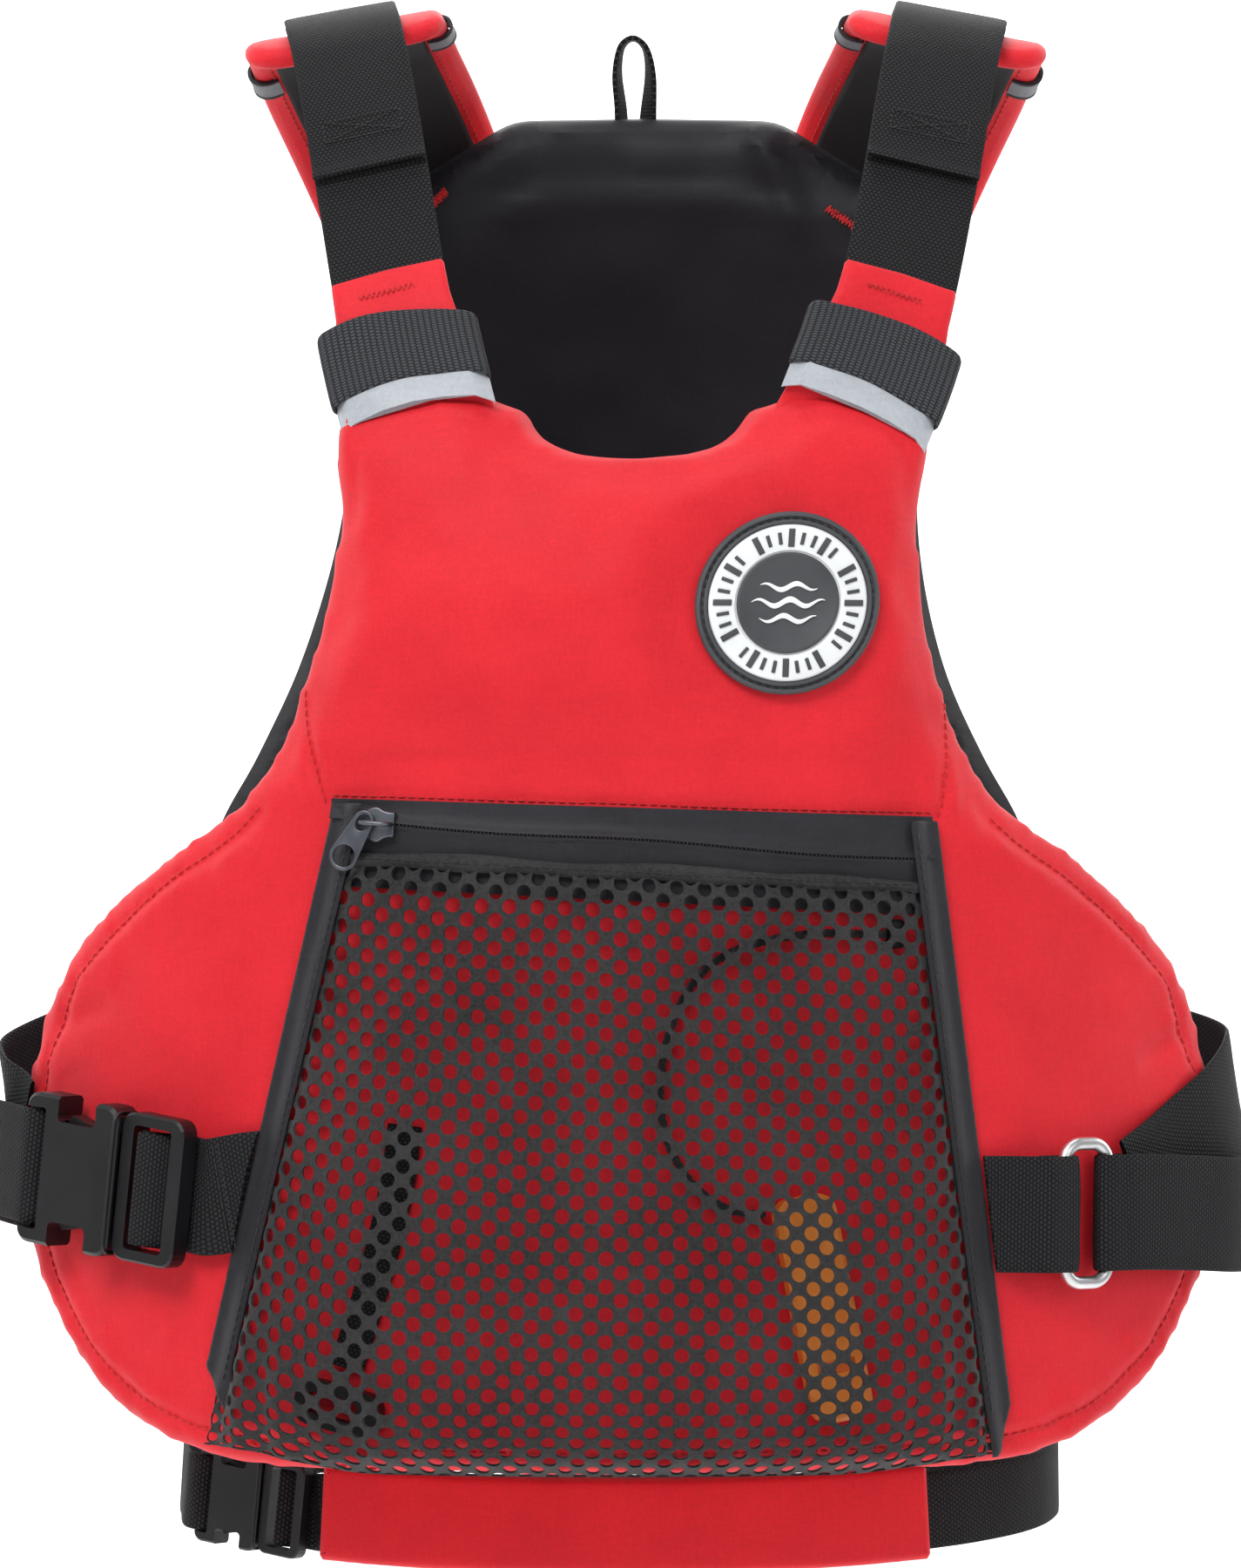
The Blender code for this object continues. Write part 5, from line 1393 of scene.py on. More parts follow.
def loop_band(name, line, start, end, half, thick, low, high, material, wave=0.0, bow=None):
    """A band once round a strap: its section is a flat loop, its length runs along the strap."""
    corners = rounded_box(2 * half, high - low, (high - low) * 0.42, 5, (0.0, (high + low) / 2))
    section = even([(x, y, 0) for x, y in corners], 0.0016, closed=True)
    count = len(section)
    verts, uvs = [], []
    rolled_start = [(0.0, 0.35), (0.03, 0.85), (0.10, 1.0)]
    rolled_end = [(0.90, 1.0), (0.97, 0.85), (1.0, 0.35)]
    outer = rolled_start + [(0.1 + 0.8 * k / 12, 1.0) for k in range(1, 12)] + rolled_end
    path = [(t, thick / 2 * full) for t, full in outer]
    path += [(t, -thick / 2 * full) for t, full in reversed(outer)]
    seed = sum(map(ord, name)) * 0.01
    for t, off in path:
        around = 0.0
        for k, p in enumerate(section):
            after, before = section[(k + 1) % count], section[k - 1]
            tangent = (after - before).normalized()
            normal = Vector((tangent.y, -tangent.x, 0))
            q = p + normal * off
            sway = wave * noise.noise(Vector((p.x * 40 + seed, t * 2.0, p.y * 50)))
            reach = bow(q.x) if bow else 0.0
            verts.append(line.place(start + (end - start) * t + sway + reach, q.y + sway * 0.4, q.x))
            uvs.append((around, start + (end - start) * t))
            around += (after - p).length
    made = mesh_object(name, verts, tube_faces(len(path), count, closed_path=True), material, uvs, 50.0)
    return outward(made)


def wrapped(name, line, section, start, end, thickness, material):
    """A thin band bent along a section of (depth, across) points, from one length of a ribbon to another."""
    path = spline([(0.0, d, a) for d, a in section], 4)
    there = (start, (start + end) / 2, end)
    verts = []
    for k, p in enumerate(path):
        ahead = (path[min(k + 1, len(path) - 1)] - path[max(k - 1, 0)]).normalized()
        normal = Vector((0.0, ahead.z, -ahead.y)) * thickness / 2
        for q, stops in ((p + normal, there), (p - normal, reversed(there))):
            verts += [line.place(along, q.y, q.z) for along in stops]
    return outward(mesh_object(name, verts, tube_faces(len(path), 6), material))


def stitched(line, points, depth):
    """A thread run over a ribbon: (along, across) points at a depth."""
    run = []
    for p in even([(a, b, 0) for a, b in points], 0.0012):
        place = line.place(p.x, depth, p.y)
        run.append((place, (line.place(p.x, depth + 0.001, p.y) - place).normalized()))
    return run


def box_run(along, half, width):
    return [(along - half, -width), (along - half, width), (along + half, width), (along + half, -width),
            (along - half, -width), (along + half, width), (along + half, -width), (along - half, width)]


def zigzag(start, end, left, right, teeth):
    """(along, across) points of a zigzag bar tack."""
    return [(start if i % 2 else end, left + (right - left) * i / teeth) for i in range(teeth + 1)]


TAB_SIDE = [(-0.0120, 0.0252), (0.0200, 0.0226), (0.0420, 0.0196), (TAB_TOP, 0.0192)]
TAB_OUTLINE = even_outline([(a, -b) for a, b in TAB_SIDE] + [(TAB_TOP + 0.0008, 0.0)] + TAB_SIDE[::-1], 0.0022)
# Half of the section that a pad's band follows, from under the pad round its edge to its top: (depth, across).
BAND_FOLD = [(-0.0103, 0.0262), (-0.0106, 0.0300), (-0.0099, 0.0330), (-0.0080, 0.0350), (-0.0058, 0.0354),
             (-0.0036, 0.0346), (-0.0022, 0.0318), (-0.0018, 0.0260), (-0.0017, 0.0130)]
BAND_SECTION = BAND_FOLD + [(-0.0017, 0.0)] + [(d, -a) for d, a in reversed(BAND_FOLD)]

for side, sign in (("left", -1.0), ("right", 1.0)):
    line = Ribbon([at(sign * x + sideways(z), y, z) for x, y, z in SHOULDER_LINE],
                  (math.cos(SHOULDER_TURN), sign * math.sin(SHOULDER_TURN), 0.0),
                  (math.cos(SHOULDER_TURN), -sign * math.sin(SHOULDER_TURN), -sign * SHOULDER_SLOPE))
    finish_at = line.length
    tail = line.at_height(0.4545 - OFFSET.z)
    pad_start = line.at_height(0.5040 - OFFSET.z)
    pad_end = finish_at - 0.004

    # The red tab: its foot is sewn under the panel's top, its top is folded over the webbing.
    def tab_place(along, depth, across, line=line):
        return line.place(along, depth - 0.0075 * (1.0 - smooth(-0.0060, 0.0060, along)), across)

    tab = cushion("shoulder_tab_cloth_" + side, TAB_OUTLINE, tab_place, -0.0017, 0.0019, RED, edge=0.0022,
                  step=0.003, wave=0.0006)
    finish(tab, "red_cloth", "shoulder_tab_" + side)
    tack = zigzag(TAB_TOP - 0.0092, TAB_TOP - 0.0070, -0.0105, 0.0095, 22)
    finish(thread_mesh("tab_tack_" + side, [stitched(line, tack, 0.0021)], RED_THREAD, radius=0.00022,
                       stitch=0.0020, gap=0.0002), "red_cloth")

    webbing = strap("shoulder_strap_" + side, line, TAB_TOP - 0.010, finish_at - 0.001, WIDE_WEBBING, -0.0009,
                    0.0009, WEBBING, wave=0.0004)
    finish(webbing, "black_webbing", "shoulder_webbing_" + side)

    # The upper layer, with its end folded under and lifted by the fold.
    def end_lift(along, across, tail=tail):
        past = along - tail
        return 0.0016 * (1.0 - smooth(0.0022, 0.0045, past)) + 0.0006 * (1.0 - smooth(0.0, 0.012, past))

    upper = strap("shoulder_strap_top_" + side, line, tail, finish_at - 0.030, WIDE_WEBBING, 0.0013, 0.0031,
                  WEBBING, wave=0.0004, lift=end_lift)
    under = strap("shoulder_strap_fold_" + side, line, tail + 0.0002, tail + 0.0120, WIDE_WEBBING - 0.0006,
                  0.0010, 0.0024, WEBBING)
    finish(upper, "black_webbing", "strap_tail_" + side)
    finish(under, "black_webbing")
    hem_runs = [stitched(line, [(tail + a, -0.0182), (tail + a, 0.0182)], depth)
                for a, depth in ((0.0010, 0.00470), (0.0024, 0.00344))]
    hem_runs.append(stitched(line, box_run(tail + 0.0175, 0.0040, 0.0130), 0.0032))
    finish(thread_mesh("strap_stitches_" + side, hem_runs, BLACK_THREAD, radius=0.00024, stitch=0.0013,
                       gap=0.0007), "black_webbing")

    def arched(across, sign=sign):
        inner = -sign * across / 0.026
        if sign < 0:
            return 0.0050 * (1.0 - inner * inner) - 0.0032 * inner
        return 0.0032 * (1.0 - inner * inner)

    keeper = loop_band("strap_keeper_" + side, line, 0.0082, 0.0336, 0.0262, 0.0016, -0.0034, 0.0034, KEEPER,
                       wave=0.0010, bow=arched)
    finish(keeper, "black_webbing", "keeper_band_" + side)

    def tape_wave(along, across, seed=sign):
        over_edge = -0.0042 * smooth(0.0225, 0.0262, abs(across))
        return over_edge + 0.0007 * noise.noise(Vector((along * 50, across * 70, seed * 3.0)))

    tape = strap("keeper_tape_" + side, line, -0.0012, 0.0110, 0.0520, 0.0022, 0.0030, REFLECTIVE,
                 step=0.0011, lift=tape_wave, bow=arched)
    finish(tape, "reflective_tape", "reflective_tape_" + side)

    # The pad: red cloth bound round a black neoprene core that shows underneath.
    pad_middle = ((pad_start + pad_end) / 2, 0.0)
    pad_outline = even_outline(rounded_box(pad_end - pad_start, 0.0680, 0.0130, 8, pad_middle), 0.0026)
    pad = cushion("shoulder_pad_cover_" + side, pad_outline, line.place, -0.0094, -0.0026, RED, edge=0.0042,
                  step=0.0034, wave=0.0007)
    finish(pad, "red_cloth", "shoulder_pad_" + side)
    core = cushion("shoulder_pad_core_" + side, inset(pad_outline, 0.0085), line.place, -0.0112, -0.0070,
                   NEOPRENE, edge=0.0022, step=0.0034, wave=0.0004)
    finish(core, "neoprene", "pad_neoprene_" + side)
    pad_skin = Skin(pad)
    rim_run = [pad_skin.seen(line.place, x, y, -0.0160, -0.0060, 0.0002) for x, y in inset(pad_outline, 0.0068)]
    rim_run = [found for found in rim_run if found]
    finish(thread_mesh("pad_stitches_" + side, [rim_run + rim_run[:1]], RED_THREAD, radius=0.00030),
           "red_cloth")

    # A reflective band over the pad, its ends folded round the pad's edges, bound in black along both sides; its
    # tape is a darker copy of the reflective tape, painted shade.
    band_start = pad_start + PAD_BAND_FROM
    band_end = band_start + PAD_BAND_WIDTH
    band = wrapped("pad_reflective_band_" + side, line, BAND_SECTION, band_start, band_end, 0.0007,
                   SHADED_REFLECTIVE)
    finish(band, "reflective_tape", "pad_reflective_band_" + side)
    borders = [wrapped("border", line, BAND_SECTION, along - 0.0006, along + 0.0006, 0.0011, SATIN)
               for along in (band_start, band_end)]
    finish(joined("pad_band_borders_" + side, borders), "black_cloth")

# The zigzag tacks that hold the pads' feet to the back panel.
lining_skin = Skin(back_lining)
tack_runs = []
for tack_start, tack_end in (((-0.0845, 0.4500), (-0.0765, 0.4570)), ((0.0715, 0.4507), (0.0850, 0.4425))):
    ahead = Vector((tack_end[0] - tack_start[0], tack_end[1] - tack_start[1]))
    across_tack = Vector((-ahead.y, ahead.x)).normalized() * 0.0016
    points = [Vector(tack_start) + ahead * (i / 24) + across_tack * (1 if i % 2 else -1) for i in range(25)]
    run = [lining_skin.seen(back, p.x, p.y, -0.045, -0.020, 0.0003) for p in points]
    tack_runs.append([found for found in run if found])
finish(thread_mesh("back_tacks", tack_runs, RED_THREAD, radius=0.00034, stitch=0.0030, gap=0.0001),
       "red_cloth")

# Hang loop: a narrow folded tape, one leg seen edge on and the other turned to the front.
LOOP_LINE = [(-0.0040, 0.4740), (-0.0044, 0.4860), (-0.0056, 0.4980), (-0.0042, 0.5075), (0.0, 0.5106),
             (0.0042, 0.5070), (0.0058, 0.4980), (0.0052, 0.4860), (0.0044, 0.4740)]
loop_line = Ribbon([at(OFFSET.x + x, OFFSET.y, z) for x, z in LOOP_LINE], step=0.002,
                   sides=[(0.55, 1, 0), (0.35, 1, 0), (0.05, 1, 0), (-0.45, 1, 0), (-0.85, 0.8, 0)])
hang = strap("hang_loop_tape", loop_line, 0.0, loop_line.length, 0.0080, -0.0009, 0.0009, WEBBING,
             step=0.0015)
finish(hang, "black_webbing", "hang_loop")


# ---------------------------------------------------------------- badge
def badge_place(u, d, v):
    return front(BADGE_AT[0] + u, d, BADGE_AT[1] + v)


def turned_disc(name, profile, material, steps=120):
    """A disc about the badge's middle, from (radius, depth) points that start and end on its axis."""
    verts = [badge_place(0.0, profile[0][1], 0.0)]
    faces = []
    for radius, depth in profile[1:-1]:
        for k in range(steps):
            turn = 2 * math.pi * k / steps
            verts.append(badge_place(radius * math.cos(turn), depth, radius * math.sin(turn)))
    verts.append(badge_place(0.0, profile[-1][1], 0.0))
    rings = len(profile) - 2
    for k in range(steps):
        m = (k + 1) % steps
        faces.append((0, 1 + k, 1 + m))
        faces.append((len(verts) - 1, 1 + (rings - 1) * steps + m, 1 + (rings - 1) * steps + k))
        for r in range(rings - 1):
            a, b = 1 + r * steps, 1 + (r + 1) * steps
            faces.append((a + k, b + k, b + m, a + m))
    return outward(mesh_object(name, verts, faces, material, angle=50.0))


rim = turned_disc("badge_rubber_rim",
                  [(0, 0.0), (0.0288, 0.0), (0.0297, 0.0008), (0.0298, 0.0022), (0.0294, 0.0032),
                   (0.0287, 0.0035), (0.0282, 0.0033), (0.0280, 0.0027), (0.0276, 0.0025), (0.0272, 0.0027),
                   (0.0270, 0.0033), (0.0264, 0.0035), (0.0259, 0.0032), (0.0257, 0.0022), (0, 0.0022)], RUBBER)
finish(rim, "badge_dark", "badge_rim")
ring_disc = turned_disc("badge_pale_ring",
                        [(0, 0.0012), (0.0254, 0.0012), (0.0256, 0.0026), (0.0252, 0.0031), (0.0246, 0.0032),
                         (0.0176, 0.0032), (0.0171, 0.0030), (0.0169, 0.0024), (0, 0.0024)], PALE_RUBBER)
finish(ring_disc, "badge_light", "badge_ring")
centre = turned_disc("badge_dark_centre", [(0, 0.0014), (0.0164, 0.0014), (0.0165, 0.0030), (0.0161, 0.0034),
                                           (0.0155, 0.0034), (0.0152, 0.0031), (0.0, 0.0031)], RUBBER)
finish(centre, "badge_dark", "badge_centre")
badge_out = Vector((0.2, -0.97, 0)).normalized()
badge_run = [(badge_place(x, 0.0028, z), badge_out) for x, z in arc((0.0, 0.0), 0.0276, 0, 360, 120)]
finish(thread_mesh("badge_stitches", [badge_run], BLACK_THREAD, radius=0.00026, stitch=0.0020, gap=0.0009),
       "badge_dark")


def raised(name, outlines, low, high, material):
    """Small raised marks on the badge's face, each from its outline."""
    pieces = []
    for outline in outlines:
        count = len(outline)
        verts = [badge_place(x, low, z) for x, z in outline] + [badge_place(x, high, z) for x, z in outline]
        faces = [tuple(range(count, 2 * count)), tuple(reversed(range(count)))]
        for k in range(count):
            m = (k + 1) % count
            faces.append((k, m, count + m, count + k))
        pieces.append(outward(mesh_object("mark", verts, faces, material)))
    made = joined(name, pieces)
    soften = made.modifiers.new("soften", "BEVEL")
    soften.width = 0.00018
    soften.segments = 2
    baked(made)
    shade(made, 50)
    return made


def wave_band(height, half_length, thickness, swing, phase):
    """The outline of a wavy stripe that thins towards its ends."""
    xs = [-half_length + 2 * half_length * i / 24 for i in range(25)]
    middle = [height + swing * math.sin(x * 620 + phase) for x in xs]
    half = [thickness / 2 * math.cos(x / half_length * 1.45) for x in xs]
    top = [(x, z + h) for x, z, h in zip(xs, middle, half)]
    low = [(x, z - h) for x, z, h in zip(xs, middle, half)]
    return top + low[::-1]


ticks = []
for k in (k for k in range(36) if k % 9 != 4):
    turn = 2 * math.pi * k / 36
    along, across = (0.0020, 0.0006) if k % 3 else (0.0030, 0.0010)
    c, s = math.cos(turn), math.sin(turn)
    corners = [(0.0211 + a * along, b * across) for a, b in ((-1, -1), (1, -1), (1, 1), (-1, 1))]
    ticks.append([(c * out - s * aside, s * out + c * aside) for out, aside in corners])
finish(raised("badge_ticks", ticks, 0.0030, 0.0036, RUBBER), "badge_dark")
swells = [wave_band(0.0052, 0.0092, 0.0018, 0.0010, 0.0), wave_band(0.0, 0.0118, 0.0020, 0.0011, 1.2),
          wave_band(-0.0052, 0.0092, 0.0018, 0.0010, 2.4)]
finish(raised("badge_waves", swells, 0.0029, 0.0036, PALE_RUBBER), "badge_light")


# ---------------------------------------------------------------- buckles and ring
def rounded_part(node, width, segments, corner, material):
    """Rounds a CAD part's edges as a mould does, and gives it its plastic."""
    part = NODES[node]
    soften = part.modifiers.new("soften", "BEVEL")
    soften.width = width
    soften.segments = segments
    soften.limit_method = "ANGLE"
    soften.angle_limit = math.radians(corner)
    part.data.materials.clear()
    part.data.materials.append(material)
    part.data.shade_smooth()
    return part


def moulded(node, width):
    """A black CAD part with rounded edges, whose flat faces are shaded flat."""
    part = rounded_part(node, width, 3, 38, PLASTIC)
    even_shade = part.modifiers.new("shade", "WEIGHTED_NORMAL")
    even_shade.keep_sharp = True


WAIST_SCALE = 0.65    # the waist buckle's size against the side buckle's
for name, scale in (("side_buckle", 1.0), ("waist_buckle", WAIST_SCALE)):
    moulded(name + "_male", 0.0013 * scale)
    moulded(name + "_female", 0.0009 * scale)
    for arm in ("_latch_upper", "_latch_lower"):
        moulded(name + arm, 0.0005 * scale)

# The waist belt's oval: its half width, its half depth and how far back its middle is.
WAIST_WIDE = 0.147
WAIST_DEEP = 0.083
WAIST_MIDDLE = 0.004


def waist_point(x, y_sign):
    """A point of the waist belt's oval, on its front half where y_sign is -1 and on its back half where 1."""
    y = WAIST_MIDDLE + y_sign * WAIST_DEEP * math.sqrt(max(0.0, 1.0 - (x / WAIST_WIDE) ** 2))
    return at(x, y, 0.0200 + 0.137 * y)


def facing(point, out, tilt):
    """A frame with +Y out of the jacket and +Z up the belt's width, tilted by degrees."""
    out = Vector((out[0], out[1], 0.0)).normalized()
    up = Vector((0.0, 0.0, 1.0))
    turned = Matrix((out.cross(up), out, up)).transposed().to_4x4()
    return Matrix.Translation(point) @ turned @ Matrix.Rotation(-math.radians(tilt), 4, "Y")


def beside_front(turn, off, v):
    """A point off the front panel's cylinder at a turn from its middle."""
    return at((R + off) * math.sin(turn), FRONT_AXIS - (R + off) * math.cos(turn), v)


side_turn = math.asin(-0.1680 / 0.268)
side_frame = facing(beside_front(side_turn, 0.0088, 0.1225), (math.sin(side_turn), -math.cos(side_turn)), 7.5)
side_frame = laid_out(side_frame @ Matrix.Translation((-0.0070, 0.0, 0.0)))
waist_joint = waist_point(-0.1180, -1.0)
waist_out = ((waist_joint.x + OFFSET.x) / WAIST_WIDE ** 2,
             (waist_joint.y + OFFSET.y - WAIST_MIDDLE) / WAIST_DEEP ** 2)
waist_frame = laid_out(facing(waist_joint, waist_out, 7.0))
ring_turn = math.asin(0.1525 / 0.266)
ring_frame = Matrix.Translation(beside_front(ring_turn, 0.0062, 0.1120))
ring_frame = laid_out(ring_frame @ Matrix.Rotation(ring_turn, 4, "Z"))

# A raised lip round each housing's mouth, as on the moulding.
for name, matrix, scale in (("side", side_frame, 1.0), ("waist", waist_frame, WAIST_SCALE)):
    lip_line = [matrix @ (Vector((0.0012, y, z)) * scale) for z, y in rounded_box(0.0470, 0.0124, 0.0034, 5)]
    lip = tube(name + "_housing_lip", even(lip_line, 0.0016, closed=True), 0.00055 * scale, PLASTIC,
               closed=True, up=matrix.to_3x3() @ Vector((1, 0, 0)))
    finish(lip, "black_plastic", body=name + "_housing")

RING_WIRE = 0.0044
ring_path = [ring_frame @ Vector((x, 0, z)) for x, z in rounded_box(0.0176, 0.0456, 0.0062, 10)]
ring = tube("belt_ring_wire", even(ring_path, 0.0009, closed=True), RING_WIRE / 2, STEEL, sides=20,
            closed=True, up=ring_frame.to_3x3() @ Vector((0, 1, 0)))
finish(ring, "steel", "belt_ring", body="belt_ring")


# ---------------------------------------------------------------- belts
def in_plane(matrix, pairs):
    """Points of a frame's x and y plane."""
    return [matrix @ Vector((x, y, 0)) for x, y in pairs]


def belt(name, node, width, points, ups=((0, 0, 1), (0, 0, 1)), moves_with=None, bends=None,
         step=0.0022, slant=0.0):
    """A belt on the jacket; with moves_with, it is baked in place on no body and bends change nothing, else it
    goes on the jacket's body.
    """
    line = Ribbon(points, *ups, step=0.003)
    made = strap(name, line, 0.0, line.length, width, -0.0009, 0.0009, WEBBING, step=step, slant=slant,
                 wave=0.0005)
    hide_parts(node)
    if moves_with:
        tuple(bends[0])
        tuple(bends[1])
        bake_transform(made)
    else:
        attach(made, "jacket")
    return line


UP = (0, 0, 1)
side_up = side_frame.to_3x3() @ Vector(UP)
waist_up = waist_frame.to_3x3() @ Vector(UP)
stub_line = belt("side_strap_left_short", "side_stub_left", WIDE_WEBBING,
                 [front(-0.1155, 0.0022, 0.1206), front(-0.1200, 0.0022, 0.1201)]
                 + in_plane(side_frame, ((-0.0310, -0.0065), (-0.0250, -0.0065), (-0.0205, -0.0054),
                                      (-0.0165, -0.0016), (-0.0125, 0.0018), (-0.0085, 0.0028))),
                 (UP, side_up), slant=0.0150)
# The end of that strap turned back over the buckle's bar.
tuck_line = Ribbon(in_plane(side_frame, ((-0.0085, 0.0046), (-0.0120, 0.0040), (-0.0155, 0.0018),
                                      (-0.0185, -0.0006), (-0.0212, -0.0016))), side_up)
tuck = strap("side_strap_left_tuck", tuck_line, 0.0, tuck_line.length, WIDE_WEBBING - 0.0010, -0.0008, 0.0008,
             WEBBING)
finish(tuck, "black_webbing")

belt("side_strap_left_long", "side_belt_left", WIDE_WEBBING,
     in_plane(side_frame, ((0.0343, -0.0012), (0.0350, 0.0024), (0.0380, 0.0046), (0.0425, 0.0044)))
     + [at(-0.2105, -0.0330, 0.1290), at(-0.2110, -0.0140, 0.1270), at(-0.2030, 0.0080, 0.1230),
        at(-0.1860, 0.0310, 0.1170), at(-0.1640, 0.0480, 0.1120), at(-0.1482, 0.0563, 0.110)],
     (side_up, UP), "side_housing", (at(-0.2105, -0.0330, 0.1290), at(-0.1640, 0.0480, 0.1120)))
belt("side_strap_left_return", "side_belt_left_return", WIDE_WEBBING,
     [at(-0.1990, -0.0300, 0.1370), at(-0.2050, -0.0180, 0.1440), at(-0.2030, -0.0020, 0.1500),
      at(-0.1860, 0.0230, 0.1580), at(-0.1640, 0.0420, 0.1640), at(-0.1500, 0.0510, 0.1670)],
     ((-0.12, 0.12, 1), UP), "side_housing", (at(-0.2050, -0.0180, 0.1440), at(-0.1640, 0.0420, 0.1640)))

# On the right both straps wrap round the ring's wire, one on each of its sides.
RING_HALF = 0.0088
WRAP = RING_WIRE / 2 + 0.0018
HALF_TURN = [(0.0, -WRAP), (WRAP * 0.75, -WRAP * 0.72), (WRAP, 0.0), (WRAP * 0.75, WRAP * 0.72), (0.0, WRAP)]
stub_wrap = [(-0.0090, -WRAP * 0.95), (-0.0035, -WRAP)] + HALF_TURN + [(-0.0035, WRAP), (-0.0080, WRAP * 0.93)]
belt_wrap = [(0.0100, WRAP * 0.93), (0.0035, WRAP)] + [(-x, -y) for x, y in HALF_TURN] \
    + [(0.0035, -WRAP), (0.0120, -WRAP)]
belt("side_strap_right_short", "side_stub_right", WIDE_WEBBING,
     [front(0.1168, 0.0032, 0.1124), front(0.1230, 0.0038, 0.1123), front(0.1310, 0.0072, 0.1121)]
     + in_plane(ring_frame, [(x - RING_HALF, y) for x, y in stub_wrap]),
     step=0.0012, slant=0.0052)
belt("side_strap_right_long", "side_belt_right", WIDE_WEBBING,
     in_plane(ring_frame, [(x + RING_HALF, y) for x, y in belt_wrap])
     + [at(0.1890, -0.0585, 0.1110), at(0.2040, -0.0400, 0.1095), at(0.2105, -0.0180, 0.1090),
        at(0.2030, 0.0080, 0.1090), at(0.1860, 0.0310, 0.1095), at(0.1640, 0.0480, 0.1100),
        at(0.1482, 0.0563, 0.1100)],
     (UP, UP), "belt_ring", (at(0.1700, -0.0720, 0.1110), at(0.1640, 0.0480, 0.1100)), step=0.0012)
belt("side_strap_right_return", "side_belt_right_return", WIDE_WEBBING,
     [ring_frame @ Vector((RING_HALF + 0.0140, 0.0012, 0.0060)), at(0.1840, -0.0520, 0.1275),
      at(0.1990, -0.0360, 0.1400), at(0.2055, -0.0160, 0.1500), at(0.2030, 0.0000, 0.1540),
      at(0.1860, 0.0230, 0.1590), at(0.1640, 0.0420, 0.1640), at(0.1500, 0.0510, 0.1670)],
     ((-0.30, -0.20, 1), UP), "belt_ring", (at(0.1700, -0.0720, 0.1200), at(0.1640, 0.0420, 0.1640)))

belt("waist_strap_short", "waist_belt_front", NARROW_WEBBING,
     [waist_point(-0.0940, -1.0), waist_point(-0.0990, -1.0)]
     + in_plane(waist_frame, ((-0.0210, -0.0043), (-0.0152, -0.0044), (-0.0128, -0.0038), (-0.0094, -0.0008),
                           (-0.0062, 0.0013))))
belt("waist_strap_left", "waist_belt_left", NARROW_WEBBING,
     in_plane(waist_frame, ((0.0222, -0.0008), (0.0227, 0.0018), (0.0247, 0.0040), (0.0280, 0.0040),
                         (0.0325, 0.0014)))
     + [waist_point(x, -1.0) for x in (-0.1460, -0.1470)]
     + [waist_point(x, 1.0) for x in (-0.1450, -0.1370, -0.1220, -0.1040)],
     (waist_up, UP), "waist_housing", (waist_point(-0.1460, -1.0), waist_point(-0.1220, 1.0)))
belt("waist_strap_round", "waist_belt", NARROW_WEBBING,
     [waist_point(x, -1.0) for x in (0.0950, 0.1005, 0.1180, 0.1330, 0.1430, 0.1470)]
     + [waist_point(x, 1.0) for x in (0.1430, 0.1330, 0.1180, 0.0980, 0.0700, 0.0350, 0.0, -0.0350, -0.0700,
                                      -0.1035)])

# The red sleeve round the waist belt, folded at both ends, with a seam and a row of stitches near each.
sleeve_line = Ribbon([waist_point(x, -1.0)
                      for x in (-0.0985, -0.078, -0.055, -0.028, 0.0, 0.028, 0.055, 0.078, 0.1015)],
                     UP, step=0.002)
sleeve_end = sleeve_line.length


def sleeve_depth(along, across):
    seams = (0.0105, 0.0165, sleeve_end - 0.0120)
    groove = sum(math.exp(-((along - s) / 0.0012) ** 2) for s in seams)
    soft = 0.0012 * noise.noise(Vector((along * 22, across * 50, 3.0)))
    soft += 0.0005 * noise.noise(Vector((along * 90, across * 60, 6.0)))
    return soft - 0.0007 * groove + 0.0006 * math.cos(across * 100)


sleeve_outline = even_outline(rounded_box(sleeve_end, 0.0318, 0.0012, 2, (sleeve_end / 2, 0.0)), 0.0022)
sleeve = two_sided("waist_belt_sleeve", flat_grid(sleeve_outline, 0.0028, (0.0005, 0.0010, 0.0014)),
                   sleeve_line.place, lambda x, y, e: 0.0034 * round_edge(e, 0.0028) + sleeve_depth(x, y),
                   lambda x, y, e: -0.0030 * round_edge(e, 0.0028), RED, 60.0)
finish(sleeve, "red_cloth", "waist_sleeve")
sleeve_skin = Skin(sleeve)


def sleeve_run(points):
    line = even([(a, b, 0) for a, b in points], 0.0015)
    run = [sleeve_skin.seen(sleeve_line.place, p.x, p.y, 0.02, 0.0, 0.0001) for p in line]
    return [found for found in run if found]


sleeve_runs = [sleeve_run([(a, -0.0148), (a + 0.0010, 0.0148)]) for a in (0.0100, 0.0160, sleeve_end - 0.0125)]
sleeve_runs.append(sleeve_run([(0.002, -0.0140), (sleeve_end - 0.002, -0.0140)]))
finish(thread_mesh("sleeve_stitches", sleeve_runs, RED_THREAD, radius=0.00028), "red_cloth")

# Stitches that hold the side straps' ends beside the pocket.
strap_runs = [stitched(stub_line, [(a, -0.0180), (a, 0.0180)], 0.0010) for a in (0.0130, 0.0150)]
finish(thread_mesh("side_strap_stitches", strap_runs, BLACK_THREAD, stitch=0.0016, gap=0.0006),
       "black_webbing")


# ---------------------------------------------------------------- what the pocket holds
whistle = rounded_part("whistle", 0.0007, 2, 40, ORANGE)
moulded("key_clip", 0.0009)

anchor_outline = even_outline(rounded_box(0.0062, 0.0096, 0.0014, 4, (0.0885, 0.2040)), 0.0012)
anchor = cushion("lanyard_loop", anchor_outline, front, 0.0002, 0.0042, BLACK_CLOTH, edge=0.0015, step=0.0016)
finish(anchor, "black_webbing", "lanyard_anchor")

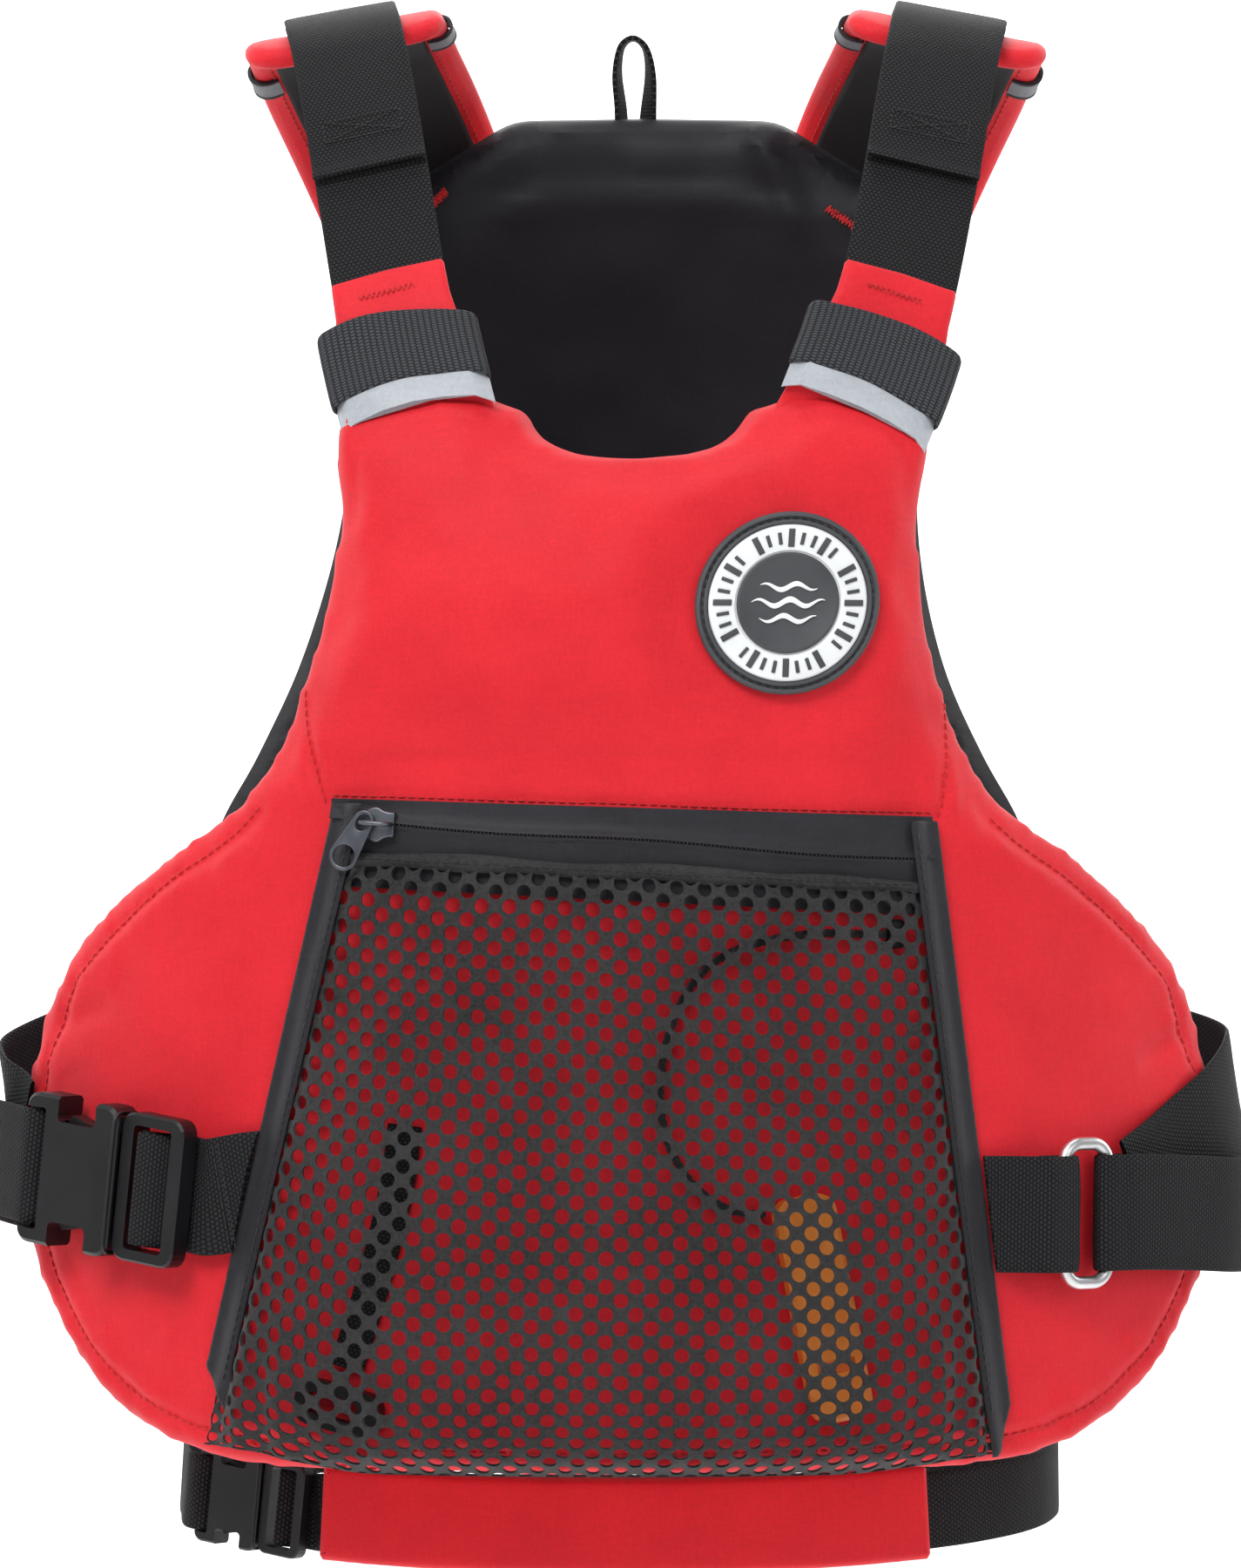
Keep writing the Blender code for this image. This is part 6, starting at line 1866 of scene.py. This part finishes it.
# The cord's route in front of the panel (u, v), from its loop beside the pocket down to the whistle's eye.
LANYARD = [(0.0852, 0.2040), (0.0800, 0.2040), (0.0740, 0.2042), (0.0670, 0.2044), (0.0600, 0.2040),
           (0.0519, 0.2030), (0.0430, 0.2010), (0.0350, 0.1980), (0.0282, 0.1938), (0.0230, 0.1880),
           (0.0190, 0.1812), (0.0158, 0.1730), (0.0136, 0.1640), (0.0126, 0.1550), (0.0128, 0.1470),
           (0.0145, 0.1390), (0.0172, 0.1322), (0.0208, 0.1262), (0.0252, 0.1212), (0.0305, 0.1172),
           (0.0362, 0.1147), (0.0415, 0.1137), (0.0462, 0.1133)]
lanyard_path = even(spline([front(u, 0.0028, v) for u, v in LANYARD], 6), 0.0010)
strands = []
for strand in range(3):
    twisted = []
    for i, p in enumerate(lanyard_path):
        after = lanyard_path[min(i + 1, len(lanyard_path) - 1)]
        before = lanyard_path[max(i - 1, 0)]
        tangent = (after - before).normalized()
        side = tangent.cross(Vector((0, -1, 0))).normalized()
        rise = side.cross(tangent).normalized()
        turn = 2 * math.pi * (i * 0.0010 / 0.0075 + strand / 3)
        twisted.append(p + (side * math.cos(turn) + rise * math.sin(turn)) * 0.00068)
    strands.append(tube("strand", twisted, 0.00082, BLACK_THREAD, sides=8, up=(0, -1, 0)))
lanyard = joined("whistle_cord", strands)
finish(lanyard, "black_webbing", "whistle_lanyard")
lanyard_length = sum((q - p).length for p, q in zip(lanyard_path, lanyard_path[1:]))
tuple(lanyard_path[0])
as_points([tuple(p) for p in lanyard_path[::4]] + [tuple(lanyard_path[-1])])

TETHER = [(-0.0695, 0.1420), (-0.0725, 0.1200), (-0.0800, 0.0900), (-0.0885, 0.0630)]
tether_line = Ribbon([front(u, 0.0018, v) for u, v in TETHER], (1, 0, 0), step=0.002)


def tether_ribs(along, across):
    return 0.00035 * math.sin(along * 2 * math.pi / 0.0032)


tether = strap("key_strap", tether_line, 0.0, tether_line.length, 0.0112, -0.0010, 0.0010, WEBBING,
               step=0.0008, lift=tether_ribs)
finish(tether, "black_webbing", "key_tether")


# ---------------------------------------------------------------- floor and backdrop
def stage_paint():
    paint = Paint("studio_paper", (0.93, 0.93, 0.93), 0.9)
    blotch = paint.noise(1.5, 2.0)
    paint.colour(paint.ramp(blotch, [(0.30, (0.92, 0.92, 0.92)), (0.70, (0.94, 0.94, 0.94))]))
    paint.rough(blotch, 0.85, 0.95)
    return paint.material


PAPER = stage_paint()
FLOOR = -OFFSET.z - 0.60
BACKDROP = 5.0
near_edge = [(-7, -7, FLOOR), (7, -7, FLOOR)]
corner_edge = [(7, BACKDROP, FLOOR), (-7, BACKDROP, FLOOR)]
top_edge = [(7, BACKDROP, 4.5), (-7, BACKDROP, 4.5)]
mesh_object("studio_floor", near_edge + corner_edge, [(0, 1, 2, 3)], PAPER)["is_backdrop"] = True
mesh_object("studio_backdrop", corner_edge[::-1] + top_edge, [(0, 1, 2, 3)], PAPER)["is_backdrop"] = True


# ---------------------------------------------------------------- sizes and finish
low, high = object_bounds()
